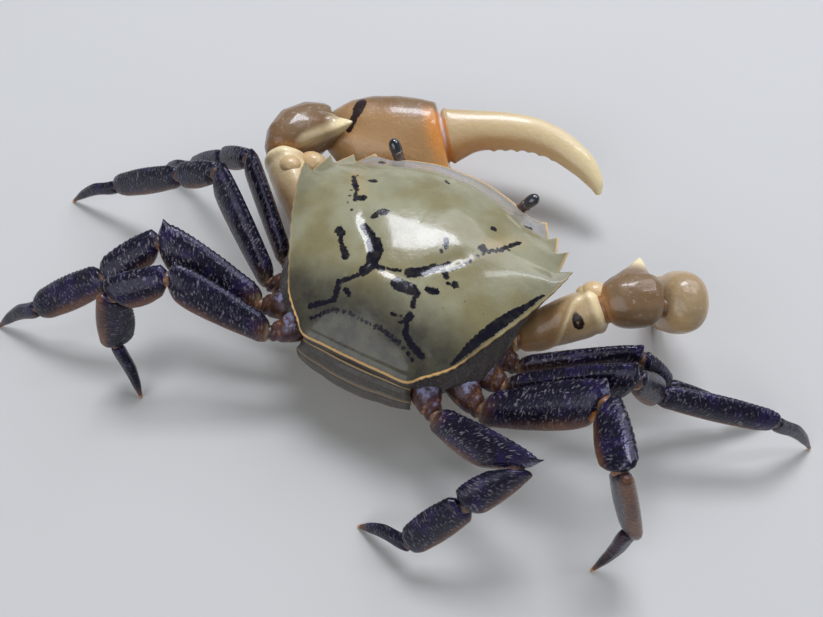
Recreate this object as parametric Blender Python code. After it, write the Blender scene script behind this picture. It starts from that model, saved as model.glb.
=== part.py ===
# Rice-field freshwater crab, adult male, life size, standing on its claws and eight walking legs.
#
# The crab faces -Y, its left side is +X, and the floor it stands on is z = 0.
# Sizes are written in millimetres and turned into metres where a mesh is made.
# Every hard plate that moves on its own in life is its own body, with a thin gap at each joint.

import math

import bmesh
import bpy
from mathutils import Vector

MM = 0.001
GAP = 0.3

# Carapace: height of its top above the floor, the level of its lower rim, and its middle
CARAPACE_TOP = 22.5
RIM_LEVEL = 12.2
DOME_CENTRE = (0.0, 1.0)
DOME_POWER = 2.2
EDGE_THICKNESS = 0.9

# How far along from its front notch to its rear notch each tooth of the carapace is rooted
TOOTH_ROOT = 0.35

# Right half of the carapace edge from the middle of the front to the middle of the rear margin.
# Each entry is (half width, Y, height) and then the half width and Y of the wall's foot under it;
# a tooth entry is the tip of a spine on that edge.
EDGE = (
    ("front", 0.0, -14.6, 16.7, 0.0, -10.8),
    ("front", 2.3, -14.6, 16.7, 2.0, -10.8),
    ("front", 4.5, -14.4, 16.6, 3.8, -10.7),
    ("front", 6.6, -14.0, 16.4, 5.6, -10.5),
    ("front", 8.6, -13.5, 16.2, 7.3, -10.2),
    ("front", 10.3, -12.9, 15.9, 8.8, -9.9),
    ("orbit", 11.2, -12.45, 16.0, 9.6, -9.7),
    ("orbit", 12.4, -12.3, 15.9, 10.6, -9.5),
    ("orbit", 13.4, -12.45, 15.5, 11.4, -9.3),
    ("tooth", 14.3, -13.05, 15.2, 12.2, -8.8),
    ("notch", 15.7, -9.9, 15.9, 13.2, -7.9),
    ("tooth", 16.8, -10.95, 15.9, 14.1, -7.0),
    ("notch", 17.8, -6.95, 17.5, 14.9, -5.9),
    ("tooth", 19.2, -8.25, 17.3, 15.5, -4.7),
    ("notch", 19.3, -3.4, 18.8, 16.0, -3.4),
    ("tooth", 21.0, -4.2, 19.2, 16.4, -2.2),
    ("side", 20.2, -1.4, 19.1, 16.8, -0.8),
    ("side", 19.3, 1.2, 18.9, 17.0, 1.4),
    ("side", 18.0, 4.4, 18.5, 17.1, 4.6),
    ("side", 16.1, 8.2, 17.9, 17.1, 8.2),
    ("side", 14.1, 12.0, 17.2, 16.5, 11.8),
    ("side", 12.6, 14.6, 16.6, 14.2, 14.6),
    ("side", 11.0, 16.3, 16.2, 11.6, 16.5),
    ("side", 9.4, 17.7, 16.0, 9.7, 17.4),
    ("rear", 8.4, 18.8, 15.8, 8.2, 18.3),
    ("rear", 7.2, 19.3, 15.8, 7.0, 18.7),
    ("rear", 4.6, 19.4, 16.0, 4.6, 18.8),
    ("rear", 2.3, 19.5, 16.1, 2.3, 18.9),
    ("rear", 0.0, 19.5, 16.1, 0.0, 18.9),
)
DOME_RINGS = (0.94, 0.82, 0.66, 0.46, 0.26, 0.1)

# Thorax under the carapace: half outline (half width, Y) and how it narrows towards the breastplate
THORAX_OUTLINE = (
    (0.0, -10.2), (3.5, -10.3), (7.0, -10.0), (10.5, -8.8), (13.2, -6.6), (15.0, -3.2),
    (16.0, 1.2), (16.4, 5.6), (16.2, 10.0), (14.4, 13.6), (11.3, 16.4), (7.6, 18.1),
    (4.0, 18.5), (0.0, 18.6),
)
THORAX_LEVELS = ((RIM_LEVEL - GAP, 1.0), (9.4, 0.98), (6.2, 0.88), (3.4, 0.68))

# Tail plate folded under the body: stations of (Y, height, half width) along its middle line
TAIL_STATIONS = (
    (18.4, 14.0, 7.8),
    (19.7, 12.8, 8.5),
    (20.4, 10.9, 8.8),
    (20.2, 8.8, 8.5),
    (19.2, 6.7, 7.8),
    (17.2, 4.6, 6.8),
    (13.8, 2.9, 5.0),
    (9.0, 2.3, 3.6),
    (3.0, 2.2, 2.9),
    (-1.8, 2.3, 2.3),
    (-4.6, 2.5, 1.0),
)
TAIL_THICKNESS = 1.6
TAIL_CROWN = 0.75

# Eyes and mouth plates
EYE_PLACE = (11.1, -13.85, 17.55)
EYE_RADIUS = 0.95
EYE_LENGTH = 2.3
STALK_ROOT = (8.6, -12.2, 13.9)
STALK_RADIUS = 0.85
MOUTH_PLATE = {"width": 5.0, "height": 8.2, "thickness": 2.6, "middle": (2.75, -10.6, 8.4), "lean": 10.0}

# Walking legs: place of each merus root, then (length, heading, climb) of merus, carpus, propodus
# and (length, heading) of the dactyl, whose climb brings its tip to the floor.
# Headings are degrees from +X towards +Y, and climbs are degrees above level.
LEGS = {
    "leg1_right": {"root": (-19.2, 7.6, 10.0), "merus": (16.4, -159, 21), "carpus": (7.8, -165, -52),
                   "propodus": (11.5, -161, -28), "dactyl": (10.1, -150), "roll": 12, "size": "leg1"},
    "leg2_right": {"root": (-19.0, 11.8, 11.0), "merus": (17.9, -165, 31), "carpus": (9.0, -136, -55),
                   "propodus": (16.8, -162, -12), "dactyl": (12.9, -155), "roll": 25, "size": "leg2"},
    "leg3_right": {"root": (-17.5, 16.1, 10.7), "merus": (17.3, -165, 33), "carpus": (9.1, 119, 11),
                   "propodus": (13.4, 162, -67), "dactyl": (10.7, 67), "roll": 50, "size": "leg3"},
    "leg4_right": {"root": (-12.6, 20.0, 11.4), "merus": (14.4, 163, 25), "carpus": (8.1, 55, -34),
                   "propodus": (10.7, 49, -45), "dactyl": (9.7, 0), "roll": 40, "size": "leg4"},
    "leg1_left": {"root": (18.7, 7.2, 9.9), "merus": (15.8, -40, 32), "carpus": (7.9, -12, -36),
                  "propodus": (11.9, -6, -42), "dactyl": (10.3, -4), "roll": 12, "size": "leg1"},
    "leg2_left": {"root": (18.4, 11.9, 10.6), "merus": (17.3, -33, 31), "carpus": (9.0, 2, -31),
                  "propodus": (16.0, 8, -31), "dactyl": (12.4, 16), "roll": 25, "size": "leg2"},
    "leg3_left": {"root": (17.2, 16.0, 11.1), "merus": (16.7, 1, 20), "carpus": (9.3, 54, -19),
                  "propodus": (14.0, 32, -30), "dactyl": (11.5, 24), "roll": 50, "size": "leg3"},
    "leg4_left": {"root": (13.3, 19.6, 12.2), "merus": (15.3, 8, 26), "carpus": (8.0, 39, -13),
                  "propodus": (10.4, 73, -72), "dactyl": (9.4, 141), "roll": 40, "size": "leg4"},
}

# Full height and thickness of each length of a leg, by leg
LEG_SIZES = {
    "leg1": {"base": (3.7, 3.3), "merus": (5.0, 2.7), "carpus": (3.6, 2.6), "propodus": (3.5, 2.2),
             "dactyl": (2.2, 1.8)},
    "leg2": {"base": (3.9, 3.4), "merus": (5.4, 2.8), "carpus": (3.9, 2.7), "propodus": (4.1, 2.4),
             "dactyl": (2.3, 1.8)},
    "leg3": {"base": (3.9, 3.4), "merus": (6.2, 2.9), "carpus": (4.7, 2.8), "propodus": (4.9, 2.5),
             "dactyl": (2.6, 1.9)},
    "leg4": {"base": (3.6, 3.1), "merus": (5.4, 2.9), "carpus": (4.8, 2.7), "propodus": (5.0, 2.4),
             "dactyl": (2.5, 1.8)},
}

# Stations along a length of leg: (share of length, share of height, share of thickness)
LEG_STATIONS = {
    "base": ((0.0, 1.0, 1.0), (0.55, 1.0, 1.0), (0.8, 0.9, 0.95), (1.0, 0.72, 0.8)),
    "merus": ((0.0, 0.56, 0.8), (0.1, 0.74, 0.96), (0.5, 0.95, 1.0), (0.78, 1.0, 1.0), (0.92, 0.9, 0.97),
              (1.0, 0.6, 0.76)),
    "carpus": ((0.0, 0.58, 0.74), (0.12, 0.86, 0.95), (0.5, 1.04, 1.0), (0.86, 1.0, 1.0), (1.0, 0.76, 0.82)),
    "propodus": ((0.0, 0.66, 0.8), (0.1, 0.88, 0.96), (0.5, 1.0, 1.0), (0.86, 0.9, 0.95), (1.0, 0.7, 0.8)),
    "dactyl": ((0.0, 0.95, 0.95), (0.3, 0.92, 0.9), (0.65, 0.66, 0.66), (1.0, 0.2, 0.26)),
}
LEG_SIDES = 12
LEG_BASE_LENGTH = 7.5
LEG_AIM = (0.7, 0.4)
TIP_SINK = 0.12

# Great claw on the left: roots and joints of its arm, then the claw in its own plane.
# In that plane the first number runs along the hand and the second towards the moving finger.
GREAT_ARM = {"root": (17.2, 1.2, 8.9), "elbow": (29.0, -9.2, 10.8), "bulge": (31.0, -15.9, 11.6),
             "wrist": (25.0, -19.0, 8.9), "start": (25.0, -19.0, 8.9)}
GREAT_ARM_SIZES = {"ischium": (6.0, 5.4), "merus": (8.2, 7.2), "carpus": (9.0, 8.6)}
GREAT_HAND = {"along": (-0.979, -0.2, -0.04), "tilt": 35.0}
GREAT_PALM = ((-1.5, 0.0, 3.4, 3.0), (2.3, 0.2, 5.6, 4.2), (5.5, 0.2, 6.9, 4.7), (10.0, 0.4, 7.6, 5.0),
              (14.5, 0.4, 7.8, 4.7), (18.5, -1.0, 6.4, 4.0))
GREAT_POLLEX = ((10.0, -3.2, 3.8, 3.6), (16.0, -4.7, 3.9, 3.4), (21.0, -7.3, 3.2, 2.8), (27.0, -9.8, 2.5, 2.3),
                (33.0, -10.8, 1.8, 1.6), (38.3, -11.0, 0.6, 0.6))
GREAT_FINGER = ((17.75, 3.3, 4.7, 3.4), (22.0, 5.2, 3.35, 3.0), (26.5, 6.3, 3.0, 2.7), (31.0, 6.8, 2.75, 2.45),
                (35.0, 6.3, 2.5, 2.15), (38.0, 5.2, 2.3, 1.9), (40.8, 3.7, 1.95, 1.6), (43.0, 1.7, 1.25, 1.1),
                (44.0, 0.0, 0.45, 0.45))
GREAT_HINGE = {"top": (15.3, 7.7), "low": (19.9, -1.5)}

# Small claw on the right, its hand hanging forward and down to the floor
SMALL_ARM = {"root": (-17.4, 2.6, 9.2), "elbow": (-26.5, -3.7, 14.8), "bulge": (-29.6, -6.2, 16.4),
             "wrist": (-32.6, -7.2, 15.7), "start": (-35.4, -8.2, 16.3)}
SMALL_ARM_SIZES = {"ischium": (5.6, 5.0), "merus": (7.6, 6.6), "carpus": (7.8, 7.4)}
SMALL_HAND = {"along": (0.19, -0.46, -0.87), "front": (0.40, -0.77, 0.49)}
SMALL_PALM = ((-1.3, 0.0, 1.7, 1.4), (-0.4, 0.0, 3.1, 2.5), (1.2, 0.0, 4.1, 3.2), (4.5, 0.0, 4.5, 3.4),
              (8.0, -0.2, 4.2, 3.1), (10.6, -0.6, 3.5, 2.7))
SMALL_POLLEX = ((5.5, -1.8, 2.2, 2.2), (9.8, -2.3, 1.9, 1.8), (14.2, -2.5, 1.4, 1.3), (18.8, -1.4, 0.6, 0.6))
SMALL_FINGER = ((9.8, 2.1, 1.9, 1.9), (12.6, 2.5, 1.6, 1.5), (15.8, 2.1, 1.1, 1.1), (18.9, 0.8, 0.5, 0.5))
SMALL_HINGE = {"top": (9.4, 4.2), "low": (9.4, 0.0)}

CARPUS_SPINE = {"great": (20.3, -17.1, 15.4), "small": (-28.2, -13.0, 16.0)}
CARPUS_SPINE_RADIUS = 1.7
CLAW_SIDES = 14

COLOURS = {
    "shell": ((0.27, 0.25, 0.11), 0.3),
    "belly": ((0.45, 0.38, 0.25), 0.5),
    "claw": ((0.62, 0.33, 0.12), 0.35),
    "leg": ((0.035, 0.02, 0.05), 0.4),
    "eye": ((0.01, 0.01, 0.012), 0.15),
}


# Clearing the file, collections and materials

def clear_scene():
    for old in list(bpy.data.objects):
        bpy.data.objects.remove(old, do_unlink=True)


def new_collection(name):
    collection = bpy.data.collections.new(name)
    bpy.context.scene.collection.children.link(collection)
    return collection


def new_material(name):
    colour, roughness = COLOURS[name]
    material = bpy.data.materials.new("crab_" + name)
    material.use_nodes = True
    shader = material.node_tree.nodes["Principled BSDF"]
    shader.inputs["Base Color"].default_value = (*colour, 1.0)
    shader.inputs["Roughness"].default_value = roughness
    shader.inputs["Metallic"].default_value = 0.0
    return material


clear_scene()
PARTS = new_collection("rice_field_crab")
TOOLS = new_collection("cutters")
MATERIALS = {name: new_material(name) for name in COLOURS}
STAND = bpy.data.objects.new("crab_place", None)
PARTS.objects.link(STAND)


# Mesh helpers

def to_object(name, bm, collection=TOOLS):
    bmesh.ops.recalc_face_normals(bm, faces=bm.faces)
    bmesh.ops.scale(bm, vec=(MM, MM, MM), verts=bm.verts)
    mesh = bpy.data.meshes.new(name)
    bm.to_mesh(mesh)
    bm.free()
    made = bpy.data.objects.new(name, mesh)
    collection.objects.link(made)
    return made


def loft(rings):
    """Skin a row of rings, each with the same number of points, and close both ends."""
    bm = bmesh.new()
    rows = [[bm.verts.new(point) for point in ring] for ring in rings]
    count = len(rows[0])
    for near, far in zip(rows, rows[1:]):
        for i in range(count):
            bm.faces.new((near[i], near[(i + 1) % count], far[(i + 1) % count], far[i]))
    bm.faces.new(list(reversed(rows[0])))
    bm.faces.new(rows[-1])
    return bm


def boolean(target, others, operation):
    """Join or cut with a collection of closed meshes and remove those meshes afterwards."""
    group = bpy.data.collections.new("working")
    bpy.context.scene.collection.children.link(group)
    for other in others:
        group.objects.link(other)
    step = target.modifiers.new("shape", "BOOLEAN")
    step.operation = operation
    step.operand_type = "COLLECTION"
    step.collection = group
    step.solver = "EXACT"
    graph = bpy.context.evaluated_depsgraph_get()
    graph.update()
    mesh = bpy.data.meshes.new_from_object(target.evaluated_get(graph))
    target.modifiers.remove(step)
    old = target.data
    target.data = mesh
    bpy.data.meshes.remove(old)
    for other in others:
        bpy.data.objects.remove(other, do_unlink=True)
    bpy.data.collections.remove(group)
    return target


def keep_largest(target):
    """Keep the closed surface with the most faces, and weld what the cut left open."""
    bm = bmesh.new()
    bm.from_mesh(target.data)
    bmesh.ops.remove_doubles(bm, verts=bm.verts, dist=0.000002)
    left = set(bm.faces)
    groups = []
    while left:
        stack = [left.pop()]
        group = list(stack)
        while stack:
            for edge in stack.pop().edges:
                for face in edge.link_faces:
                    if face in left:
                        left.remove(face)
                        stack.append(face)
                        group.append(face)
        groups.append(group)
    groups.sort(key=len)
    for group in groups[:-1]:
        bmesh.ops.delete(bm, geom=group, context="FACES")
    loose = [vert for vert in bm.verts if not vert.link_faces]
    bmesh.ops.delete(bm, geom=loose, context="VERTS")
    bm.to_mesh(target.data)
    bm.free()
    return target


def flatten_on_floor(target):
    """Cut away what sinks below the floor, which leaves a small flat there."""
    bm = bmesh.new()
    bm.from_mesh(target.data)
    if min(vert.co.z for vert in bm.verts) < 0.0:
        everything = bm.verts[:] + bm.edges[:] + bm.faces[:]
        cut = bmesh.ops.bisect_plane(bm, geom=everything, dist=0.000001, plane_co=(0, 0, 0),
                                     plane_no=(0, 0, -1), clear_outer=True)
        rim = [item for item in cut["geom_cut"] if isinstance(item, bmesh.types.BMEdge)]
        bmesh.ops.contextual_create(bm, geom=rim)
        bmesh.ops.recalc_face_normals(bm, faces=bm.faces)
    bm.to_mesh(target.data)
    bm.free()
    return target


def finish(target, name, material):
    """Name a body, give it its material and place it with the others."""
    target.name = name
    target.data.name = name
    target.data.materials.clear()
    target.data.materials.append(MATERIALS[material])
    if target.name not in PARTS.objects:
        PARTS.objects.link(target)
    if target.name in TOOLS.objects:
        TOOLS.objects.unlink(target)
    target.parent = STAND
    target.data.shade_smooth()
    target.data.set_sharp_from_angle(angle=math.radians(40))
    return target


def ring_points(middle, tall, thick, half_tall, half_thick, sides, squareness=2.3):
    """A rounded section round a middle point, in the plane of two unit directions."""
    points = []
    for i in range(sides):
        turn = 2.0 * math.pi * i / sides
        c, s = math.cos(turn), math.sin(turn)
        a = math.copysign(abs(c) ** (2.0 / squareness), c) * half_tall
        b = math.copysign(abs(s) ** (2.0 / squareness), s) * half_thick
        points.append(middle + tall * a + thick * b)
    return points


def heading(yaw, climb):
    yaw, climb = math.radians(yaw), math.radians(climb)
    return Vector((math.cos(climb) * math.cos(yaw), math.cos(climb) * math.sin(yaw), math.sin(climb)))


# Carapace and thorax

def mirrored_loop(half):
    """Turn a right half, from front to rear, into one closed loop with both halves."""
    right = [Vector((-x, y, z)) for x, y, z in half]
    left = [Vector((x, y, z)) for x, y, z in reversed(half[1:-1])]
    return right + left


def base_edge():
    """The carapace edge with each tooth worn down to its root on the line between its notches."""
    worn = []
    for i, (kind, x, y, z, _, _) in enumerate(EDGE):
        if kind == "tooth":
            before, after = EDGE[i - 1], EDGE[i + 1]
            x, y, z = [before[k] + (after[k] - before[k]) * TOOTH_ROOT for k in (1, 2, 3)]
        worn.append((x, y, z))
    return worn


def grow_outline(points, grow):
    """Push a loop outwards in plan by a fixed amount."""
    if not grow:
        return points
    pushed = []
    count = len(points)
    for i, point in enumerate(points):
        along = points[(i + 1) % count] - points[i - 1]
        out = Vector((along.y, -along.x, 0.0)).normalized()
        if out.dot(Vector((point.x, point.y - 4.0, 0.0))) < 0.0:
            out = -out
        pushed.append(point + out * grow)
    return pushed


def carapace_mesh(grow=0.0):
    edge = mirrored_loop([(x, y, z) for _, x, y, z, _, _ in EDGE])
    worn = mirrored_loop(base_edge())
    centre = Vector((*DOME_CENTRE, 0.0))
    edge = grow_outline(edge, grow)
    worn = grow_outline(worn, grow)
    rings = []
    for share in reversed(DOME_RINGS):
        ring = []
        for point in worn:
            spot = centre + (Vector((point.x, point.y, 0.0)) - centre) * share
            spot.z = point.z + (CARAPACE_TOP - point.z) * (1.0 - share ** DOME_POWER) + grow
            ring.append(spot)
        rings.append(ring)
    rings.append([point + Vector((0, 0, grow)) for point in edge])
    rings.append([point - Vector((0, 0, EDGE_THICKNESS)) for point in worn])
    foot = mirrored_loop([(x, y, RIM_LEVEL - grow) for _, _, _, _, x, y in EDGE])
    rings.append(grow_outline(foot, grow))
    return loft(rings)


def thorax_mesh(grow=0.0):
    rings = []
    top = THORAX_LEVELS[0][0]
    bottom = THORAX_LEVELS[-1][0]
    for level, share in THORAX_LEVELS:
        middle = Vector((0.0, 4.0, 0.0))
        loop = mirrored_loop([(x, y, 0.0) for x, y in THORAX_OUTLINE])
        loop = [middle + (point - middle) * share for point in loop]
        loop = grow_outline(loop, grow)
        lift = grow if level == top else (-grow if level == bottom else 0.0)
        rings.append([Vector((point.x, point.y, level + lift)) for point in loop])
    return loft(rings)


def body_cutters(*names):
    """Slightly swollen copies of the body plates, to cut a gap to them into what they carry."""
    makers = {"carapace": carapace_mesh, "thorax": thorax_mesh}
    return [to_object("cut_" + name, makers[name](GAP)) for name in names]


def make_carapace():
    return finish(to_object("carapace", carapace_mesh()), "carapace", "shell")


def make_thorax():
    return finish(to_object("thorax", thorax_mesh()), "thorax", "belly")


def make_tail_plate():
    """The folded tail plate: a band that follows the rear and underside of the thorax."""
    rings = []
    last = len(TAIL_STATIONS) - 1
    for i, (y, z, half) in enumerate(TAIL_STATIONS):
        before, after = TAIL_STATIONS[max(i - 1, 0)], TAIL_STATIONS[min(i + 1, last)]
        along = Vector((0.0, after[0] - before[0], after[1] - before[1])).normalized()
        out = Vector((0.0, -along.z, along.y))
        thick = TAIL_THICKNESS * (0.6 if i == last else 1.0)
        middle = Vector((0.0, y, z))
        across = [-1.0 + 0.25 * step for step in range(9)]
        outer = [middle + Vector((side * half, 0, 0)) + out * thick * (0.5 - TAIL_CROWN * side * side)
                 for side in across]
        inner = [middle + Vector((side * half * 0.97, 0, 0)) - out * thick * (0.5 + 0.5 * side * side)
                 for side in reversed(across)]
        rings.append(outer + inner)
    tail = to_object("tail_plate", loft(rings))
    boolean(tail, body_cutters("carapace", "thorax"), "DIFFERENCE")
    return finish(keep_largest(tail), "tail_plate", "belly")


# Head pieces

def make_eye(side, sign):
    root = Vector((sign * STALK_ROOT[0], STALK_ROOT[1], STALK_ROOT[2]))
    eye = Vector((sign * EYE_PLACE[0], EYE_PLACE[1], EYE_PLACE[2]))
    along = (eye - root).normalized()
    tall = along.cross(Vector((0, 0, 1))).normalized()
    thick = along.cross(tall).normalized()
    seat = eye - along * EYE_LENGTH * 0.45
    rings = [ring_points(root.lerp(seat, share) - along * GAP * 0.5, tall, thick, STALK_RADIUS * size,
                         STALK_RADIUS * size, 10, 2.0)
             for share, size in ((0.0, 1.0), (0.4, 0.95), (0.8, 1.0), (1.0, 1.05))]
    stalk = to_object("stalk", loft(rings))
    boolean(stalk, body_cutters("carapace", "thorax"), "DIFFERENCE")
    finish(keep_largest(stalk), "eyestalk_" + side, "claw")
    rings = []
    steps = 7
    for i in range(steps):
        share = i / (steps - 1)
        swell = math.sqrt(max(0.0, 1.0 - (1.55 * share - 0.55) ** 2))
        swell = max(swell, 0.12)
        rings.append(ring_points(seat + along * (GAP * 0.5 + EYE_LENGTH * share), tall, thick,
                                 EYE_RADIUS * swell, EYE_RADIUS * swell, 12, 2.0))
    finish(to_object("eye", loft(rings)), "eye_" + side, "eye")


def make_mouth_plate(side, sign):
    size = MOUTH_PLATE
    x, y, z = size["middle"]
    bm = bmesh.new()
    bmesh.ops.create_cube(bm, size=1.0)
    bmesh.ops.scale(bm, vec=(size["width"], size["thickness"], size["height"]), verts=bm.verts)
    bmesh.ops.bevel(bm, geom=bm.edges[:], offset=0.8, segments=2, profile=0.5, affect="EDGES", material=-1)
    lean = math.radians(size["lean"])
    for vert in bm.verts:
        flat_y, flat_z = vert.co.y, vert.co.z
        vert.co.y = flat_y * math.cos(lean) - flat_z * math.sin(lean)
        vert.co.z = flat_y * math.sin(lean) + flat_z * math.cos(lean)
    bmesh.ops.translate(bm, vec=(sign * x, y, z), verts=bm.verts)
    plate = to_object("plate", bm)
    boolean(plate, body_cutters("carapace", "thorax"), "DIFFERENCE")
    finish(keep_largest(plate), "mouth_plate_" + side, "belly")


# Legs

def mitre(before, here):
    """The plane that halves the bend between two directions."""
    return (before + here).normalized()


def straight_length(start, end, start_plane, end_plane, size, stations, tall, sides):
    """A tapered length between two joints, its ends cut flat on the given planes."""
    along = (end - start).normalized()
    tall = (tall - along * tall.dot(along)).normalized()
    thick = along.cross(tall).normalized()
    rings = []
    for share, tall_share, thick_share in stations:
        ring = ring_points(start, tall, thick, size[0] * tall_share / 2.0, size[1] * thick_share / 2.0, sides)
        fitted = []
        for point in ring:
            first = ((start - point).dot(start_plane) + GAP / 2.0) / along.dot(start_plane)
            last = ((end - point).dot(end_plane) - GAP / 2.0) / along.dot(end_plane)
            fitted.append(point + along * (first + (last - first) * share))
        rings.append(fitted)
    return loft(rings)


def leg_joints(leg):
    joints = [Vector(leg["root"])]
    for name in ("merus", "carpus", "propodus"):
        length, yaw, climb = leg[name]
        joints.append(joints[-1] + heading(yaw, climb) * length)
    length, yaw = leg["dactyl"]
    drop = joints[-1].z + TIP_SINK
    climb = -math.degrees(math.asin(min(0.98, drop / length)))
    joints.append(joints[-1] + heading(yaw, climb) * length)
    return joints


def make_leg(name, leg):
    joints = leg_joints(leg)
    sizes = LEG_SIZES[leg["size"]]
    inward = Vector((-LEG_AIM[0] * joints[0].x, -LEG_AIM[1] * joints[0].y, 0.3)).normalized()
    joints.insert(0, joints[0] + inward * LEG_BASE_LENGTH)
    ways = [(b - a).normalized() for a, b in zip(joints, joints[1:])]
    roll = math.radians(leg["roll"])
    for i, length_name in enumerate(("base", "merus", "carpus", "propodus", "dactyl")):
        along = ways[i]
        upright = (Vector((0, 0, 1)) - along * along.z)
        if upright.length < 0.5:
            upright = Vector((0, -1, 0)) - along * -along.y
        upright.normalize()
        forward = along.cross(upright).normalized()
        if forward.y > 0.0:
            forward = -forward
        tall = upright * math.cos(roll) + forward * math.sin(roll)
        start_plane = mitre(ways[i - 1], along) if i else along
        end_plane = mitre(along, ways[i + 1]) if i < 4 else along
        bm = straight_length(joints[i], joints[i + 1], start_plane, end_plane, sizes[length_name],
                             LEG_STATIONS[length_name], tall, LEG_SIDES)
        piece = to_object(length_name, bm)
        if length_name == "base":
            boolean(piece, body_cutters("carapace", "thorax"), "DIFFERENCE")
            keep_largest(piece)
        if length_name == "dactyl":
            flatten_on_floor(piece)
        finish(piece, name + "_" + length_name, "leg")


# Claws

def claw_axes(along, toward_finger):
    along = Vector(along).normalized()
    tall = (Vector(toward_finger) - along * Vector(toward_finger).dot(along)).normalized()
    return along, tall, along.cross(tall).normalized()


def great_axes():
    along = Vector(GREAT_HAND["along"]).normalized()
    level = Vector((-along.y, along.x, 0.0)).normalized()
    if level.y > 0.0:
        level = -level
    tilt = math.radians(GREAT_HAND["tilt"])
    return claw_axes(along, level * math.cos(tilt) + Vector((0, 0, 1)) * math.sin(tilt))


def claw_loft(start, axes, stations, grow=0.0, first_side=None):
    """Loft a finger or hand from stations of (along, across, half height, half thickness)."""
    along, tall, thick = axes
    rings = []
    last = len(stations) - 1
    for i, (u, v, half_tall, half_thick) in enumerate(stations):
        before, after = stations[max(i - 1, 0)], stations[min(i + 1, last)]
        lean = Vector((after[0] - before[0], after[1] - before[1])).normalized()
        side = along * -lean.y + tall * lean.x
        if i == 0 and first_side:
            side = (along * first_side[0] + tall * first_side[1]).normalized()
        push = grow * (-1.0 if i == 0 else 1.0 if i == last else 0.0)
        rings.append(ring_points(start + along * (u + push) + tall * v, side, thick, half_tall + grow,
                                 half_thick + grow, CLAW_SIDES))
    return loft(rings)


def hinge_block(start, axes, hinge, reach=40.0):
    """A block beyond the slanting hinge line and above its low end, in the claw's own plane."""
    along, tall, thick = axes
    (top_u, top_v), (low_u, low_v) = hinge["top"], hinge["low"]
    slope = (top_u - low_u) / (top_v - low_v)
    bm = bmesh.new()
    corners = []
    for u, v in ((low_u, low_v), (low_u + reach, low_v), (low_u + slope * reach, low_v + reach),
                 (low_u + reach, low_v + reach)):
        for w in (-reach, reach):
            corners.append(bm.verts.new(start + along * u + tall * v + thick * w))
    bmesh.ops.convex_hull(bm, input=corners)
    return to_object("hinge_block", bm)


def make_hand(side, start, axes, palm, pollex, finger, hinge):
    hand = to_object("palm", claw_loft(start, axes, palm))
    boolean(hand, [to_object("pollex", claw_loft(start, axes, pollex))], "UNION")
    boolean(hand, [hinge_block(start, axes, hinge)], "DIFFERENCE")
    keep_largest(hand)
    flatten_on_floor(hand)
    finish(hand, "claw_" + side + "_palm", "claw")
    hinge_line = (hinge["top"][0] - hinge["low"][0], hinge["top"][1] - hinge["low"][1])
    moving = to_object("finger", claw_loft(start + axes[0] * GAP, axes, finger, first_side=hinge_line))
    flatten_on_floor(moving)
    finish(moving, "claw_" + side + "_finger", "claw")


ARM_STATIONS = {
    "ischium": ((0.0, 1.0, 1.0), (0.6, 1.0, 1.0), (1.0, 0.8, 0.85)),
    "merus": ((0.0, 0.58, 0.7), (0.25, 0.8, 0.9), (0.65, 1.0, 1.0), (0.88, 0.98, 1.0), (1.0, 0.8, 0.8)),
    "carpus": ((0.0, 0.6, 0.6), (0.1, 0.8, 0.8), (0.25, 0.95, 0.95), (0.45, 1.0, 1.0), (0.65, 1.0, 1.0),
               (0.82, 0.93, 0.93), (0.93, 0.82, 0.82), (1.0, 0.66, 0.68)),
}


def swollen_length(path, start_plane, end_plane, size, stations, tall):
    """A rounded block that bulges on the outside of a bend: the hull of sections along a curve."""
    start, control, end = path
    bm = bmesh.new()
    for share, tall_share, thick_share in stations:
        here = start.lerp(control, share).lerp(control.lerp(end, share), share)
        along = (start_plane.lerp(end_plane, share)).normalized()
        up = (tall - along * tall.dot(along)).normalized()
        thick = along.cross(up).normalized()
        gap = GAP / 2.0 if share == 0.0 else (-GAP / 2.0 if share == 1.0 else 0.0)
        for point in ring_points(here + along * gap, up, thick, size[0] * tall_share / 2.0,
                                 size[1] * thick_share / 2.0, CLAW_SIDES):
            bm.verts.new(point)
    hull = bmesh.ops.convex_hull(bm, input=bm.verts)
    inner = [item for item in hull["geom_interior"] if isinstance(item, bmesh.types.BMVert)]
    bmesh.ops.delete(bm, geom=inner, context="VERTS")
    return bm


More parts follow.
